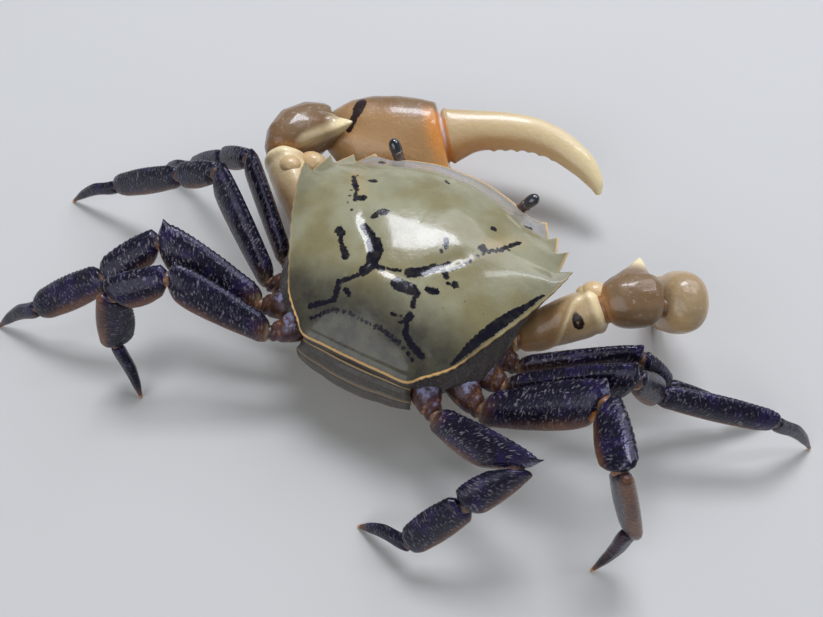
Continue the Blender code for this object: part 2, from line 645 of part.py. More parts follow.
def make_arm(side, arm, sizes, hand_axes, spine, hand_cutter):
    """The three lengths of an arm; returns the plane in which it meets the hand."""
    root, elbow, bulge, wrist = (Vector(arm[name]) for name in ("root", "elbow", "bulge", "wrist"))
    inward = Vector((math.copysign(1.0, -root.x), 0.35, 0.0)).normalized()
    shoulder = root + inward * 9.0
    hip_way, merus_way = (root - shoulder).normalized(), (elbow - root).normalized()
    hip_plane = mitre(hip_way, merus_way)
    elbow_plane = mitre(merus_way, (bulge - elbow).normalized())
    wrist_plane = mitre((wrist - bulge).normalized(), hand_axes[0])
    upright = Vector((0, 0, 1))
    ischium = to_object("ischium", straight_length(shoulder, root, hip_way, hip_plane, sizes["ischium"],
                                                   ARM_STATIONS["ischium"], upright, CLAW_SIDES))
    boolean(ischium, body_cutters("carapace", "thorax"), "DIFFERENCE")
    finish(keep_largest(ischium), "claw_" + side + "_ischium", "claw")
    merus = to_object("merus", straight_length(root, elbow, hip_plane, elbow_plane, sizes["merus"],
                                               ARM_STATIONS["merus"], upright, CLAW_SIDES))
    boolean(merus, body_cutters("carapace", "thorax"), "DIFFERENCE")
    finish(keep_largest(merus), "claw_" + side + "_merus", "claw")
    carpus = to_object("carpus", swollen_length((elbow, bulge, wrist), elbow_plane, wrist_plane, sizes["carpus"],
                                                ARM_STATIONS["carpus"], hand_axes[1]))
    trim(carpus, elbow, elbow_plane)
    boolean(carpus, [carpus_spine(elbow.lerp(bulge, 0.5).lerp(wrist, 0.35), Vector(spine))], "UNION")
    boolean(carpus, [hand_cutter], "DIFFERENCE")
    finish(keep_largest(carpus), "claw_" + side + "_carpus", "claw")


def trim(target, spot, plane):
    """Cut a body flat just past a joint plane, so that it meets its neighbour face to face."""
    bm = bmesh.new()
    bm.from_mesh(target.data)
    everything = bm.verts[:] + bm.edges[:] + bm.faces[:]
    cut = bmesh.ops.bisect_plane(bm, geom=everything, dist=0.000001, clear_inner=True,
                                 plane_co=(spot + plane * GAP / 2.0) * MM, plane_no=plane)
    rim = [item for item in cut["geom_cut"] if isinstance(item, bmesh.types.BMEdge)]
    if rim:
        bmesh.ops.contextual_create(bm, geom=rim)
    bmesh.ops.recalc_face_normals(bm, faces=bm.faces)
    bm.to_mesh(target.data)
    bm.free()


def carpus_spine(root, tip):
    along, tall, thick = claw_axes(tip - root, (0, 0, 1))
    length = (tip - root).length
    rings = [ring_points(root + along * length * share, tall, thick, CARPUS_SPINE_RADIUS * size,
                         CARPUS_SPINE_RADIUS * size, 8, 2.0)
             for share, size in ((0.0, 1.9), (0.45, 1.4), (0.75, 0.75), (1.0, 0.1))]
    return to_object("spine", loft(rings))


def make_claw(side, arm, sizes, axes, palm, pollex, finger, hinge, spine):
    start = Vector(arm["start"])
    hand_cutter = to_object("hand_cutter", claw_loft(start, axes, palm, grow=GAP))
    make_arm(side, arm, sizes, axes, spine, hand_cutter)
    make_hand(side, start, axes, palm, pollex, finger, hinge)


def centre_on_origin():
    """Stand the finished crab on z = 0 with the middle of its box over the origin."""
    corners = []
    for part in PARTS.objects:
        if part.type == "MESH":
            corners += [vert.co.copy() for vert in part.data.vertices]
    low = Vector([min(corner[k] for corner in corners) for k in range(3)])
    high = Vector([max(corner[k] for corner in corners) for k in range(3)])
    STAND.location = (-(low.x + high.x) / 2.0, -(low.y + high.y) / 2.0, -low.z)


def build():
    make_carapace()
    make_thorax()
    make_tail_plate()
    for side, sign in (("left", 1.0), ("right", -1.0)):
        make_eye(side, sign)
        make_mouth_plate(side, sign)
    for name, leg in LEGS.items():
        make_leg(name, leg)
    make_claw("left", GREAT_ARM, GREAT_ARM_SIZES, great_axes(), GREAT_PALM, GREAT_POLLEX, GREAT_FINGER,
              GREAT_HINGE, CARPUS_SPINE["great"])
    small = claw_axes(SMALL_HAND["along"], SMALL_HAND["front"])
    make_claw("right", SMALL_ARM, SMALL_ARM_SIZES, small, SMALL_PALM, SMALL_POLLEX, SMALL_FINGER,
              SMALL_HINGE, CARPUS_SPINE["small"])
    centre_on_origin()


build()
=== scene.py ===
# Display scene of a rice-field freshwater crab: fine skins, colours, floor, lights and camera.
#
# The crab faces -Y, its left side is +X, and the floor it stands on is z = 0.
# Lengths are written in millimetres in the crab's own middle, and made metres where a mesh is made.

import math

import bmesh
import bpy
from mathutils import Matrix, Vector


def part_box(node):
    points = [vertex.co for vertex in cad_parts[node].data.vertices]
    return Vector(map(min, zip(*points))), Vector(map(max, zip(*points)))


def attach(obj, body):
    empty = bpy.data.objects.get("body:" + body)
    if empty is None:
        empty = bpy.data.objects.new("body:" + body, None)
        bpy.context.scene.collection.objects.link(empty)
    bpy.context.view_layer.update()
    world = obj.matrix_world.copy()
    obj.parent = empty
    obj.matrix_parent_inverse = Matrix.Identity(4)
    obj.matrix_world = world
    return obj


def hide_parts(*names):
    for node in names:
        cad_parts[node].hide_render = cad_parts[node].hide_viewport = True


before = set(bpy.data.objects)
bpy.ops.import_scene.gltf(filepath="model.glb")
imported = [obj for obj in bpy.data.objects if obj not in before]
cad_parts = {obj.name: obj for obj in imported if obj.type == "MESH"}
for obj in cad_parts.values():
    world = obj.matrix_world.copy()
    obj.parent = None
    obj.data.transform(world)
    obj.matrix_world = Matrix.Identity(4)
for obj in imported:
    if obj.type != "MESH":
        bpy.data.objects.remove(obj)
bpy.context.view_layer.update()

bl_info = {
    "name": "Rice-field crab display",
    "version": (1, 0, 0),
    "blender": (4, 5, 0),
    "location": "View3D > Sidebar > Crab",
    "description": "Skins, colours and stage of a life-size freshwater crab",
    "category": "Object",
}

MM = 0.001
UP = Vector((0, 0, 1))
FAR = 1e9
SIDES = (("left", 1.0), ("right", -1.0))

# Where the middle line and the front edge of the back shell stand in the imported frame
FRONT_EDGE_Y = -14.6
SHELL_LOW, SHELL_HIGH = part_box("carapace")
SHIFT = Vector(((SHELL_LOW[0] + SHELL_HIGH[0]) / 2.0 / MM, SHELL_LOW[1] / MM - FRONT_EDGE_Y, 0.0))

# Back shell: heights and the right half of its edge: (kind, half width, Y, height), then the
# half width and Y of the wall's foot under it
SHELL_TOP = 22.5
RIM_LEVEL = 12.2
TOOTH_ROOT = 0.35
DOME_CENTRE = Vector((0.0, 1.0, 0.0))
DOME_POWER = 2.2
DOME_START = 0.02
EASING_ROUNDS = 420
EDGE = (
    ("front", 0.0, -14.6, 16.7, 0.0, -10.8),
    ("front", 2.3, -14.6, 16.7, 2.0, -10.8),
    ("front", 4.5, -14.4, 16.6, 3.8, -10.7),
    ("front", 6.6, -14.0, 16.4, 5.6, -10.5),
    ("front", 8.6, -13.5, 16.2, 7.3, -10.2),
    ("front", 10.3, -12.9, 15.9, 8.8, -9.9),
    ("orbit", 11.2, -12.45, 16.0, 9.6, -9.7),
    ("orbit", 12.4, -12.3, 15.9, 10.6, -9.5),
    ("orbit", 13.4, -12.45, 15.5, 11.4, -9.3),
    ("tooth", 14.3, -13.05, 15.2, 12.2, -8.8),
    ("notch", 15.7, -9.9, 15.9, 13.2, -7.9),
    ("tooth", 16.8, -10.95, 15.9, 14.1, -7.0),
    ("notch", 17.8, -6.95, 17.5, 14.9, -5.9),
    ("tooth", 19.2, -8.25, 17.3, 15.5, -4.7),
    ("notch", 19.3, -3.4, 18.8, 16.0, -3.4),
    ("tooth", 21.0, -4.2, 19.2, 16.4, -2.2),
    ("side", 20.2, -1.4, 19.1, 16.8, -0.8),
    ("side", 19.3, 1.2, 18.9, 17.0, 1.4),
    ("side", 18.0, 4.4, 18.5, 17.1, 4.6),
    ("side", 16.1, 8.2, 17.9, 17.1, 8.2),
    ("side", 14.1, 12.0, 17.2, 16.5, 11.8),
    ("side", 12.6, 14.6, 16.6, 14.2, 14.6),
    ("side", 11.0, 16.3, 16.2, 11.6, 16.5),
    ("side", 9.4, 17.7, 16.0, 9.7, 17.4),
    ("rear", 8.4, 18.8, 15.8, 8.2, 18.3),
    ("rear", 7.2, 19.3, 15.8, 7.0, 18.7),
    ("rear", 4.6, 19.4, 16.0, 4.6, 18.8),
    ("rear", 2.3, 19.5, 16.1, 2.3, 18.9),
    ("rear", 0.0, 19.5, 16.1, 0.0, 18.9),
)
EDGE_STEPS = 8
DOME_RINGS = 92
BLADE_START = 0.94

# Under the dome: shares across the blade, (outward, upward) round the beaded rim, and shares down the wall
BLADE_SHARES = (0.2, 0.4, 0.6, 0.8, 0.94)
RIM_SECTION = ((-0.03, -0.02), (0.02, -0.16), (-0.01, -0.32), (-0.15, -0.44))
SIDE_BEAD = 0.12
RIM_DEPTH = 0.9
WALL_SHARES = (0.0, 0.08, 0.18, 0.3, 0.42, 0.54, 0.66, 0.78, 0.9, 1.0)

# Blue-black marks on the back shell: (radius, points), on the side where they are seen
NO_INK = 3.0
MARKS = (
    (0.55, ((6.5, 3.6), (5.4, 4.3), (4.3, 5.1))),
    (0.98, ((4.2, 5.4), (3.3, 6.3), (3.1, 7.4))),
    (0.74, ((3.1, 7.6), (2.9, 8.6), (3.4, 9.5))),
    (0.34, ((3.6, 9.9), (4.6, 10.8), (5.5, 11.4))),
    (0.38, ((2.5, 8.2), (1.2, 8.4))),
    (0.16, ((0.7, 8.1), (-1.1, 7.7))),
    (0.64, ((-2.2, 7.4), (-3.6, 6.5), (-4.9, 5.2))),
    (0.3, ((-4.9, 5.2), (-6.2, 3.7))),
    (0.84, ((-1.5, 9.4), (-2.4, 9.3), (-3.3, 9.2))),
    (0.45, ((-3.6, 9.2), (-4.4, 9.4))),
    (0.42, ((-5.4, 8.3), (-6.6, 8.0))),
    (0.4, ((-6.1, 5.1), (-6.8, 5.7))),
    (0.46, ((-8.2, 6.1), (-8.3, 6.0))),
    (0.26, ((-7.4, 6.3), (-7.3, 6.3))),
    (0.36, ((-4.4, 1.0), (-4.9, 1.9))),
    (0.22, ((-4.6, 2.7), (-4.7, 2.9))),
    (0.55, ((9.6, 5.4), (8.9, 5.7))),
    (0.3, ((8.7, 6.4), (8.1, 7.2))),
    (0.46, ((7.6, 7.6), (6.7, 8.6))),
    (0.56, ((5.5, 0.8), (5.0, 0.6))),
    (0.42, ((5.9, 1.6), (6.1, 1.8))),
    (0.42, ((11.6, -10.1), (11.1, -10.1))),
    (0.42, ((9.9, -4.3), (9.3, -4.5))),
    (0.26, ((0.8, -9.7), (0.2, -9.4))),
    (0.56, ((9.4, -0.4), (9.0, -0.5))),
    (0.3, ((9.9, 0.3), (10.4, -0.8), (10.6, -1.6))),
    (0.36, ((10.9, -1.8), (11.9, -3.2), (12.7, -4.2))),
    (0.2, ((9.5, 2.0), (9.4, 2.1))),
    (0.56, ((-9.1, -0.5), (-9.3, -0.4))),
    (0.22, ((-9.9, -0.6), (-10.9, -1.2))),
    (0.3, ((-10.9, -1.2), (-11.9, -2.9), (-12.9, -4.8))),
    (0.38, ((-8.9, -4.6), (-9.0, -4.6))),
    (0.2, ((-9.0, 1.0), (-9.1, 1.0))),
    (0.24, ((-12.3, -8.9), (-12.9, -9.4))),
    (0.3, ((6.1, 11.8), (5.7, 12.6))),
    (0.46, ((5.7, 12.7), (5.5, 14.0))),
    (0.34, ((5.6, 14.3), (6.9, 15.0))),
    (0.44, ((7.3, 15.2), (8.3, 15.7))),
    (0.36, ((4.6, 12.5), (3.9, 12.9))),
    (0.34, ((-4.3, 9.9), (-4.5, 10.9))),
    (0.5, ((-4.8, 12.2), (-4.7, 12.8))),
    (0.36, ((-4.9, 13.2), (-5.2, 14.4))),
    (0.44, ((-5.4, 14.5), (-6.6, 15.2), (-8.2, 15.6))),
    (0.26, ((-2.6, 13.0), (-3.1, 12.9))),
    (0.16, ((-3.6, 12.7), (-3.7, 12.7))),
    (0.2, ((-3.9, 13.5), (-4.2, 13.3))),
)

# Rows of small dots on the shell: (radius, number of dots, first, last)
DOT_ROWS = (
    (0.15, 6, (7.4, 17.1), (5.0, 15.4)),
    (0.2, 3, (4.4, 15.2), (2.6, 14.9)),
    (0.1, 6, (2.0, 15.0), (-1.2, 15.3)),
    (0.17, 3, (-1.3, 15.0), (-2.6, 15.2)),
    (0.22, 4, (-3.2, 15.3), (-5.0, 15.6)),
    (0.17, 3, (-5.8, 15.9), (-7.4, 16.6)),
    (0.14, 5, (-6.9, 4.5), (-8.6, 2.2)),
    (0.11, 6, (10.6, 1.1), (12.4, -4.8)),
    (0.1, 5, (-9.6, 0.4), (-12.2, -2.4)),
)
DOTS = [(radius, Vector(first).lerp(Vector(last), i / (count - 1)))
        for radius, count, first, last in DOT_ROWS for i in range(count)]

# The long streak beside the right rear rim, from Y to Y, and warm streaks: (share, width, points)
REAR_STREAK = (0.5, 15.0)
REAR_STREAK_HALF = 1.15
REAR_STREAK_INSET = 0.34
WARM_STREAKS = ((0.55, 1.1, ((9.8, -1.6), (12.8, -5.0))), (0.45, 0.5, ((1.5, 8.8), (0.0, 8.9))))

# Sunken grooves and raised crests of the back shell, mirrored: (depth, width, points)
GROOVES = (
    (0.42, 0.75, ((6.9, 2.6), (6.2, 3.7), (4.6, 5.0), (3.3, 6.6), (3.0, 8.2), (3.5, 9.6), (5.4, 11.2))),
    (0.3, 0.6, ((3.0, 8.0), (1.2, 8.3), (0.0, 8.3))),
    (0.26, 0.7, ((5.6, 11.4), (5.6, 13.6), (7.2, 15.0), (8.8, 15.6))),
    (0.12, 0.8, ((6.9, 2.6), (9.2, -0.2), (11.4, -2.2), (13.4, -5.6))),
    (0.07, 1.5, ((0.0, -9.0), (0.0, -5.6))),
    (0.12, 0.5, ((2.2, 12.4), (3.8, 12.8))),
)
CREST = ((0.9, -10.9), (2.6, -10.9), (5.0, -10.4), (7.6, -9.9), (9.7, -8.9), (11.7, -8.3), (14.2, -8.7),
         (16.4, -9.3))
CREST_WIDTH = 0.42
BROW = ((11.0, -10.9), (12.6, -10.6), (14.2, -11.2))
BROW_HEIGHT, BROW_WIDTH = 0.16, 0.6
BAND_DROP = 0.22
GROOVE_WIDENING = 1.25

# Low swellings of the back, mirrored: (height, width, half width and Y of the middle, squash along Y)
SWELLINGS = ((0.2, 4.2, 3.4, -4.5, 0.7), (0.3, 2.8, 0.0, 11.3, 1.0), (0.3, 4.2, 11.0, 4.0, 0.8))

# Breast under the back shell, as a half outline (half width, Y) and its levels (height, share)
BREAST_OUTLINE = (
    (0.0, -10.2), (3.5, -10.3), (7.0, -10.0), (10.5, -8.8), (13.2, -6.6), (15.0, -3.2),
    (16.0, 1.2), (16.4, 5.6), (16.2, 10.0), (14.4, 13.6), (11.3, 16.4), (7.6, 18.1),
    (4.0, 18.5), (0.0, 18.6),
)
BREAST_MIDDLE = Vector((0.0, 4.0, 0.0))
BREAST_LEVELS = ((11.9, 1.0), (9.4, 0.98), (6.2, 0.88), (3.4, 0.68))
BREAST_SUTURES = (-4.6, -0.6, 3.4, 7.4, 11.4)
BREAST_FLOOR_RINGS = 34
BREAST_STEPS = 6
SUTURE_DEPTH, SUTURE_WIDTH, SUTURE_SLANT = 0.3, 0.32, 0.16

# Tail folded under the breast: (Y, height, half width) along its middle line
TAIL_STATIONS = (
    (18.4, 14.0, 7.8),
    (19.7, 12.8, 8.5),
    (20.4, 10.9, 8.8),
    (20.2, 8.8, 8.5),
    (19.2, 6.7, 7.8),
    (17.2, 4.6, 6.8),
    (13.8, 2.9, 5.0),
    (9.0, 2.3, 3.6),
    (3.0, 2.2, 2.9),
    (-1.8, 2.3, 2.3),
    (-4.6, 2.5, 1.0),
)
TAIL_THICKNESS = 1.6
TAIL_CROWN = 0.75
TAIL_SEAMS = (0.5, 1.55, 2.7, 3.9, 5.2, 6.6, 8.3)
TAIL_HEM, TAIL_DIP, TAIL_FLANK = 0.26, 0.16, 0.14
TAIL_STEPS = 12
TAIL_ACROSS = 21
TAIL_INSIDE = (99.0, 9.0)

# Eyes and feelers, and the seams (half width, height) and the foremost face of the mouth plates
EYE_PLACE = (11.1, -13.85, 17.55)
EYE_RADIUS = 0.95
EYE_LENGTH = 2.3
STALK_ROOT = (8.6, -12.2, 13.9)
STALK_RINGS, EYE_RINGS, FEELER_RINGS = 17, 19, 15
STALK_SIDES, EYE_SIDES, FEELER_SIDES = 24, 32, 12
FEELER_ROOT, FEELER_REACH = Vector((6.2, -12.0, 13.2)), Vector((1.5, -1.3, 0.7))
FEELER_RADIUS = 0.34
MOUTH_SEAMS = (3.4, 9.0)
MOUTH_GROOVE = 0.3
MOUTH_FACE = -9.4
MOUTH_ROUNDS = 6

# Walking legs: root, (length, heading, climb) of merus, carpus and propodus as in the solids,
# then (length, heading) of the dactyl, which climbs down to the floor
LEGS = {
    "leg1_right": ((-19.2, 7.6, 10.0), ((16.4, -159, 21), (7.8, -165, -52), (11.5, -161, -28)), (10.1, -150)),
    "leg2_right": ((-19.0, 11.8, 11.0), ((17.9, -165, 31), (9.0, -136, -55), (16.8, -162, -12)),
                   (12.9, -155)),
    "leg3_right": ((-17.5, 16.1, 10.7), ((17.3, -165, 33), (9.1, 119, 11), (13.4, 162, -67)), (10.7, 67)),
    "leg4_right": ((-12.6, 20.0, 11.4), ((14.4, 163, 25), (8.1, 55, -34), (10.7, 49, -45)), (9.7, 0)),
    "leg1_left": ((18.7, 7.2, 9.9), ((15.8, -40, 32), (7.9, -12, -36), (11.9, -6, -42)), (10.3, -4)),
    "leg2_left": ((18.4, 11.9, 10.6), ((17.3, -33, 31), (9.0, 2, -31), (16.0, 8, -31)), (12.4, 16)),
    "leg3_left": ((17.2, 16.0, 11.1), ((16.7, 1, 20), (9.3, 54, -19), (14.0, 32, -30)), (11.5, 24)),
    "leg4_left": ((13.3, 19.6, 12.2), ((15.3, 8, 26), (8.0, 39, -13), (10.4, 73, -72)), (9.4, 141)),
}
LEG_LENGTHS = ("base", "merus", "carpus", "propodus", "dactyl")

# For each pair of legs: (height, thickness) of its lengths, roll, and reach of the amber root
LEG_SIZES = {
    "leg1": (((3.7, 3.3), (5.0, 2.7), (3.6, 2.6), (3.5, 2.2), (2.2, 1.8)), 12, 1.3),
    "leg2": (((3.9, 3.4), (5.4, 2.8), (3.9, 2.7), (4.1, 2.4), (2.3, 1.8)), 25, 0.22),
    "leg3": (((3.9, 3.4), (6.2, 2.9), (4.7, 2.8), (4.9, 2.5), (2.6, 1.9)), 50, 0.22),
    "leg4": (((3.6, 3.1), (5.4, 2.9), (4.8, 2.7), (5.0, 2.4), (2.5, 1.8)), 40, 0.22),
}

# Along each leg length: (share of the length, share of its height, share of its thickness)
LEG_STATIONS = {
    "base": ((0.0, 1.0, 1.0), (0.55, 1.0, 1.0), (0.8, 0.9, 0.95), (1.0, 0.72, 0.8)),
    "merus": ((0.0, 0.56, 0.8), (0.1, 0.74, 0.96), (0.5, 0.95, 1.0), (0.78, 1.0, 1.0), (0.92, 0.9, 0.97),
              (1.0, 0.6, 0.76)),
    "carpus": ((0.0, 0.58, 0.74), (0.12, 0.86, 0.95), (0.5, 1.04, 1.0), (0.86, 1.0, 1.0), (1.0, 0.76, 0.82)),
    "propodus": ((0.0, 0.66, 0.8), (0.1, 0.88, 0.96), (0.5, 1.0, 1.0), (0.86, 0.9, 0.95), (1.0, 0.7, 0.8)),
    "dactyl": ((0.0, 0.95, 0.95), (0.3, 0.92, 0.9), (0.65, 0.66, 0.66), (1.0, 0.2, 0.26)),
}
LEG_BASE_LENGTH = 7.5
LEG_AIM = (0.7, 0.4)
TIP_SINK = 0.12
DACTYL_ARCH = 0.055
LEG_SIDES = 28
LEG_PLUG_SHARE = 0.4

# Limb skins: gap between two lengths, spacing and least number of rings, and the rounding of the ends
GAP = 0.3
RING_SPACING = 0.26
LEAST_RINGS = 24
MOST_ROUNDING, ROUNDING_SHARE = 0.85, 0.12

# Great claw on the left. In the hand's own plane the first number runs along it and the second
# towards the moving finger. Teeth are (place, height), lobes are (middle, radii), and ischium
# and merus are (height, thickness).
GREAT_CLAW = {
    "root": (17.2, 1.2, 8.9), "elbow": (29.0, -9.2, 10.8), "bulge": (31.0, -15.9, 11.6),
    "wrist": (25.0, -19.0, 8.9), "wrist_drop": 0.0, "start": (25.0, -19.0, 8.9),
    "spine": (20.3, -17.1, 15.4), "ridge": (28.0, -11.0, 12.3), "knob": (24.5, -16.0, 13.4),
    "ischium": (6.0, 5.4), "merus": (8.2, 7.2),
    "along": (-0.979, -0.2, -0.04), "tilt": 35.0,
    "palm": ((-1.5, 3.4), (2.3, 5.8), (5.5, 7.1), (10.0, 8.0), (14.0, 8.25), (17.0, 7.9), (20.0, 5.6)),
    "pollex": ((20.0, -2.4), (21.2, -4.2), (24.0, -5.9), (27.0, -7.3), (33.0, -9.0), (38.3, -10.6)),
    "lower": ((-1.5, -3.4), (2.3, -5.4), (5.5, -6.7), (10.0, -7.3), (14.5, -7.9), (18.0, -9.3),
              (21.0, -10.5), (27.0, -12.3), (33.0, -12.6), (38.3, -11.4)),
    "thick": ((-1.5, 3.0), (2.3, 4.2), (5.5, 4.7), (10.0, 5.0), (14.5, 4.8), (17.5, 4.1), (20.0, 3.2),
              (24.0, 2.6), (27.0, 2.3), (33.0, 1.6), (38.3, 0.4)),
    "finger": ((17.75, 3.3, 4.7, 3.4), (22.0, 5.2, 3.35, 3.0), (26.5, 6.3, 3.0, 2.7), (31.0, 6.8, 2.75, 2.45),
               (35.0, 6.3, 2.5, 2.15), (38.0, 5.2, 2.3, 1.9), (40.8, 3.7, 1.95, 1.6), (43.0, 1.7, 1.25, 1.1),
               (44.0, 0.0, 0.4, 0.4)),
    "finger_steps": 110,
    "hinge": ((15.3, 7.7), (19.9, -1.5)),
    "palm_teeth": ((22.5, 0.4), (24.4, 0.5), (26.4, 0.4), (28.4, 0.45), (30.6, 0.3), (33.0, 0.3)),
    "finger_teeth": ((25.2, 0.3), (27.2, 0.24), (29.2, 0.3), (31.4, 0.2), (33.6, 0.24), (36.0, 0.16)),
    "lobes": (((25.5, -6.2, 13.6), (1.7, 1.6, 1.4)), ((23.5, -9.4, 11.7), (2.3, 1.8, 1.9))),
}
HINGE_SKIN_THICKNESS = 3.7
HINGE_SKIN_START, HINGE_SKIN_DEPTH, HINGE_SKIN_RINGS = -1.3, 2.5, 17
HINGE_WAIST = 0.35
HINGE_GLOW = ((14.9, 7.6), (19.2, -1.6))
GREAT_PALM_MARK = ((0.95, ((3.6, 4.9), (3.5, 3.8))), (0.6, ((3.5, 3.8), (3.1, 1.2), (2.9, 0.4))))

# Small claw on the right, hanging forward and down to the floor
SMALL_CLAW = {
    "root": (-17.4, 2.6, 9.2), "elbow": (-26.5, -3.7, 14.8), "bulge": (-29.6, -6.2, 16.4),
    "wrist": (-32.6, -7.2, 15.7), "wrist_drop": 1.4, "start": (-36.4, -8.7, 16.3),
    "spine": (-28.2, -13.0, 16.0), "far_side": 6.0, "spot": (8.8, 2.5),
    "ischium": (5.6, 5.0), "merus": (7.6, 6.6),
    "along": (0.19, -0.46, -0.87), "front": (0.40, -0.77, 0.49),
    "palm": ((-1.3, 1.7), (-0.4, 3.1), (1.2, 4.1), (4.5, 4.5), (8.0, 4.1), (9.4, 3.9)),
    "pollex": ((9.4, -0.2), (11.0, -0.6), (14.2, -1.1), (18.8, -0.9)),
    "lower": ((-1.3, -1.7), (-0.4, -3.1), (1.2, -4.1), (4.5, -4.5), (9.8, -4.3), (14.2, -3.9), (18.8, -1.9)),
    "thick": ((-1.3, 1.4), (-0.4, 2.5), (1.2, 3.2), (4.5, 3.4), (8.0, 3.1), (10.0, 2.3), (14.2, 1.3),
              (18.8, 0.4)),
    "finger": ((9.8, 2.1, 1.9, 1.9), (12.6, 2.5, 1.6, 1.5), (15.8, 2.1, 1.1, 1.1), (18.9, 0.8, 0.4, 0.4)),
    "finger_steps": 50,
    "hinge": ((9.3, 4.2), (9.5, 0.0)),
    "palm_teeth": ((12.0, 0.3), (13.6, 0.3), (15.2, 0.25)),
    "finger_teeth": ((12.8, 0.3), (14.4, 0.25)),
    "lobes": (((-24.7, -4.7, 15.9), (1.9, 1.6, 1.4)), ((-24.3, -4.3, 15.2), (2.1, 1.6, 1.4))),
}
ARM_STATIONS = {
    "ischium": ((0.0, 1.0, 1.0), (0.6, 1.0, 1.0), (1.0, 0.8, 0.85)),
    "merus": ((0.0, 0.58, 0.7), (0.25, 0.8, 0.9), (0.65, 1.0, 1.0), (0.88, 0.98, 1.0), (1.0, 0.8, 0.8)),
}
ARM_RIDGES = ((0.0, 1.0), (2.2, 0.8), (4.08, 0.8), (2.0 * math.pi, 1.0))
ARM_PLUG_SHARES = (0.4, 0.36, 0.32)
SPINE_STATIONS = ((0.0, 3.9), (0.3, 3.5), (0.5, 2.5), (0.68, 1.5), (0.84, 0.7), (0.97, 0.2))
SPINE_SIDES = 24
RIDGE_BALLS, RIDGE_RADIUS, RIDGE_TAPER = 16, 1.25, 0.95
KNOB_RADIUS = 2.1
CARPUS_ROUNDS = 14
FINGER_RIDGE = math.radians(38.0)
TOOTH_WIDTH = 0.5
CEILING_FADE = 0.5
SHOULDER_DEPTH = 9.0
FAR_SIDE_SQUEEZE = 0.4
CLAW_SIDES = 40
PALM_STEP = 0.25

# Finely remeshed solids: voxel in millimetres, and the distance in metres at which vertices join
VOXEL = 0.22
WELD = 0.000001

# Colours that only one paint uses
# Painted shade of the back shell's side wall, with darker granule pits in it
WALL_PAINTED_SHADE, WALL_SHADED_PITS = (0.085, 0.075, 0.068), (0.036, 0.030, 0.030)
CLAW_CLOUD, CLAW_SPECK, CLAW_INK = (0.44, 0.30, 0.15), (0.62, 0.44, 0.38), (0.028, 0.014, 0.012)
LEG_GLEAM = (0.7, 0.66, 1.0, 1.0)
BREAST_CLOUD, BREAST_GOLD, BREAST_SEAM = (0.40, 0.31, 0.20), (0.62, 0.40, 0.17), (0.10, 0.065, 0.04)
# Painted shade of the breast, tail and mouth plates, with darker granule pits in it
BREAST_PAINTED_SHADE, BREAST_SHADED_PITS = (0.062, 0.054, 0.048), (0.024, 0.020, 0.018)
JOINT_TAN, JOINT_DARK, JOINT_PALE = (0.56, 0.30, 0.13), (0.035, 0.016, 0.018), (0.66, 0.55, 0.62)
EYE_BLACK, EYE_CLOUD = (0.006, 0.006, 0.008), (0.030, 0.034, 0.045)
STALK_DARK, STALK_PALE = (0.055, 0.032, 0.030), (0.16, 0.11, 0.09)
FLOOR_CLOUD = (0.60, 0.60, 0.59)

# Room light, then place in metres, spread and tint of each softbox
ROOM_TINT, ROOM_STRENGTH = (0.86, 0.92, 1.0, 1.0), 0.22
LIGHTS = {
    "key": ((0.15, -0.32, 0.65), (0.30, 0.19), (0.86, 0.89, 1.0)),
    "strip": ((-0.31, -0.28, 0.62), (0.06, 0.34), (0.86, 0.89, 1.0)),
    "front": ((-0.14, -0.54, 0.56), (0.6, 0.45), (0.88, 0.92, 1.0)),
    "fill": ((0.15, 0.78, 0.58), (0.9, 0.6), (0.95, 0.97, 1.0)),
}

# Camera: place and directions fitted to the photographed view, in the crab's own millimetres
CAMERA_PLACE = Vector((-27.92, 56.74, 110.22))
CAMERA_RIGHT = Vector((-0.889, -0.457, 0.0))
CAMERA_SIGHT = Vector((0.2258, -0.4393, -0.8695))
PICTURE_WIDTH = 823
FOCAL_PIXELS = 800.0
SENSOR_MM = 36.0
CLIP_DISTANCES = (0.005, 10.0)


# Settings a user would change

def colour_setting(name, description, default):
    return bpy.props.FloatVectorProperty(name=name, description=description, default=default,
                                         subtype="COLOR", size=3, min=0.0, max=1.0)


def number_setting(name, description, default, unit="LENGTH"):
    return bpy.props.FloatProperty(name=name, description=description, default=default,
                                   unit=unit, min=0.0, precision=5)


class CrabSizes(bpy.types.PropertyGroup):
    """Sizes and light powers"""
    groove_scale: number_setting("Groove depth", "How deep the grooves of the back are", 0.55, "NONE")
    crest_height: number_setting("Crest height", "Height of the crest behind the front edge", 0.0002)
    bead_height: number_setting("Bead height", "Height of the beads along the leg edges", 0.00014)
    bead_pitch: number_setting("Bead pitch", "Distance between beads on the leg edges", 0.0008)
    floor_size: number_setting("Floor size", "Side of the square floor", 2.4)
    key_power: number_setting("Key light", "Power of the main softbox", 3.4, "POWER")
    strip_power: number_setting("Strip light", "Power of the narrow side softbox", 0.7, "POWER")
    front_power: number_setting("Front light", "Power of the broad front softbox", 2.2, "POWER")
    fill_power: number_setting("Fill light", "Power of the broad fill light", 3.0, "POWER")


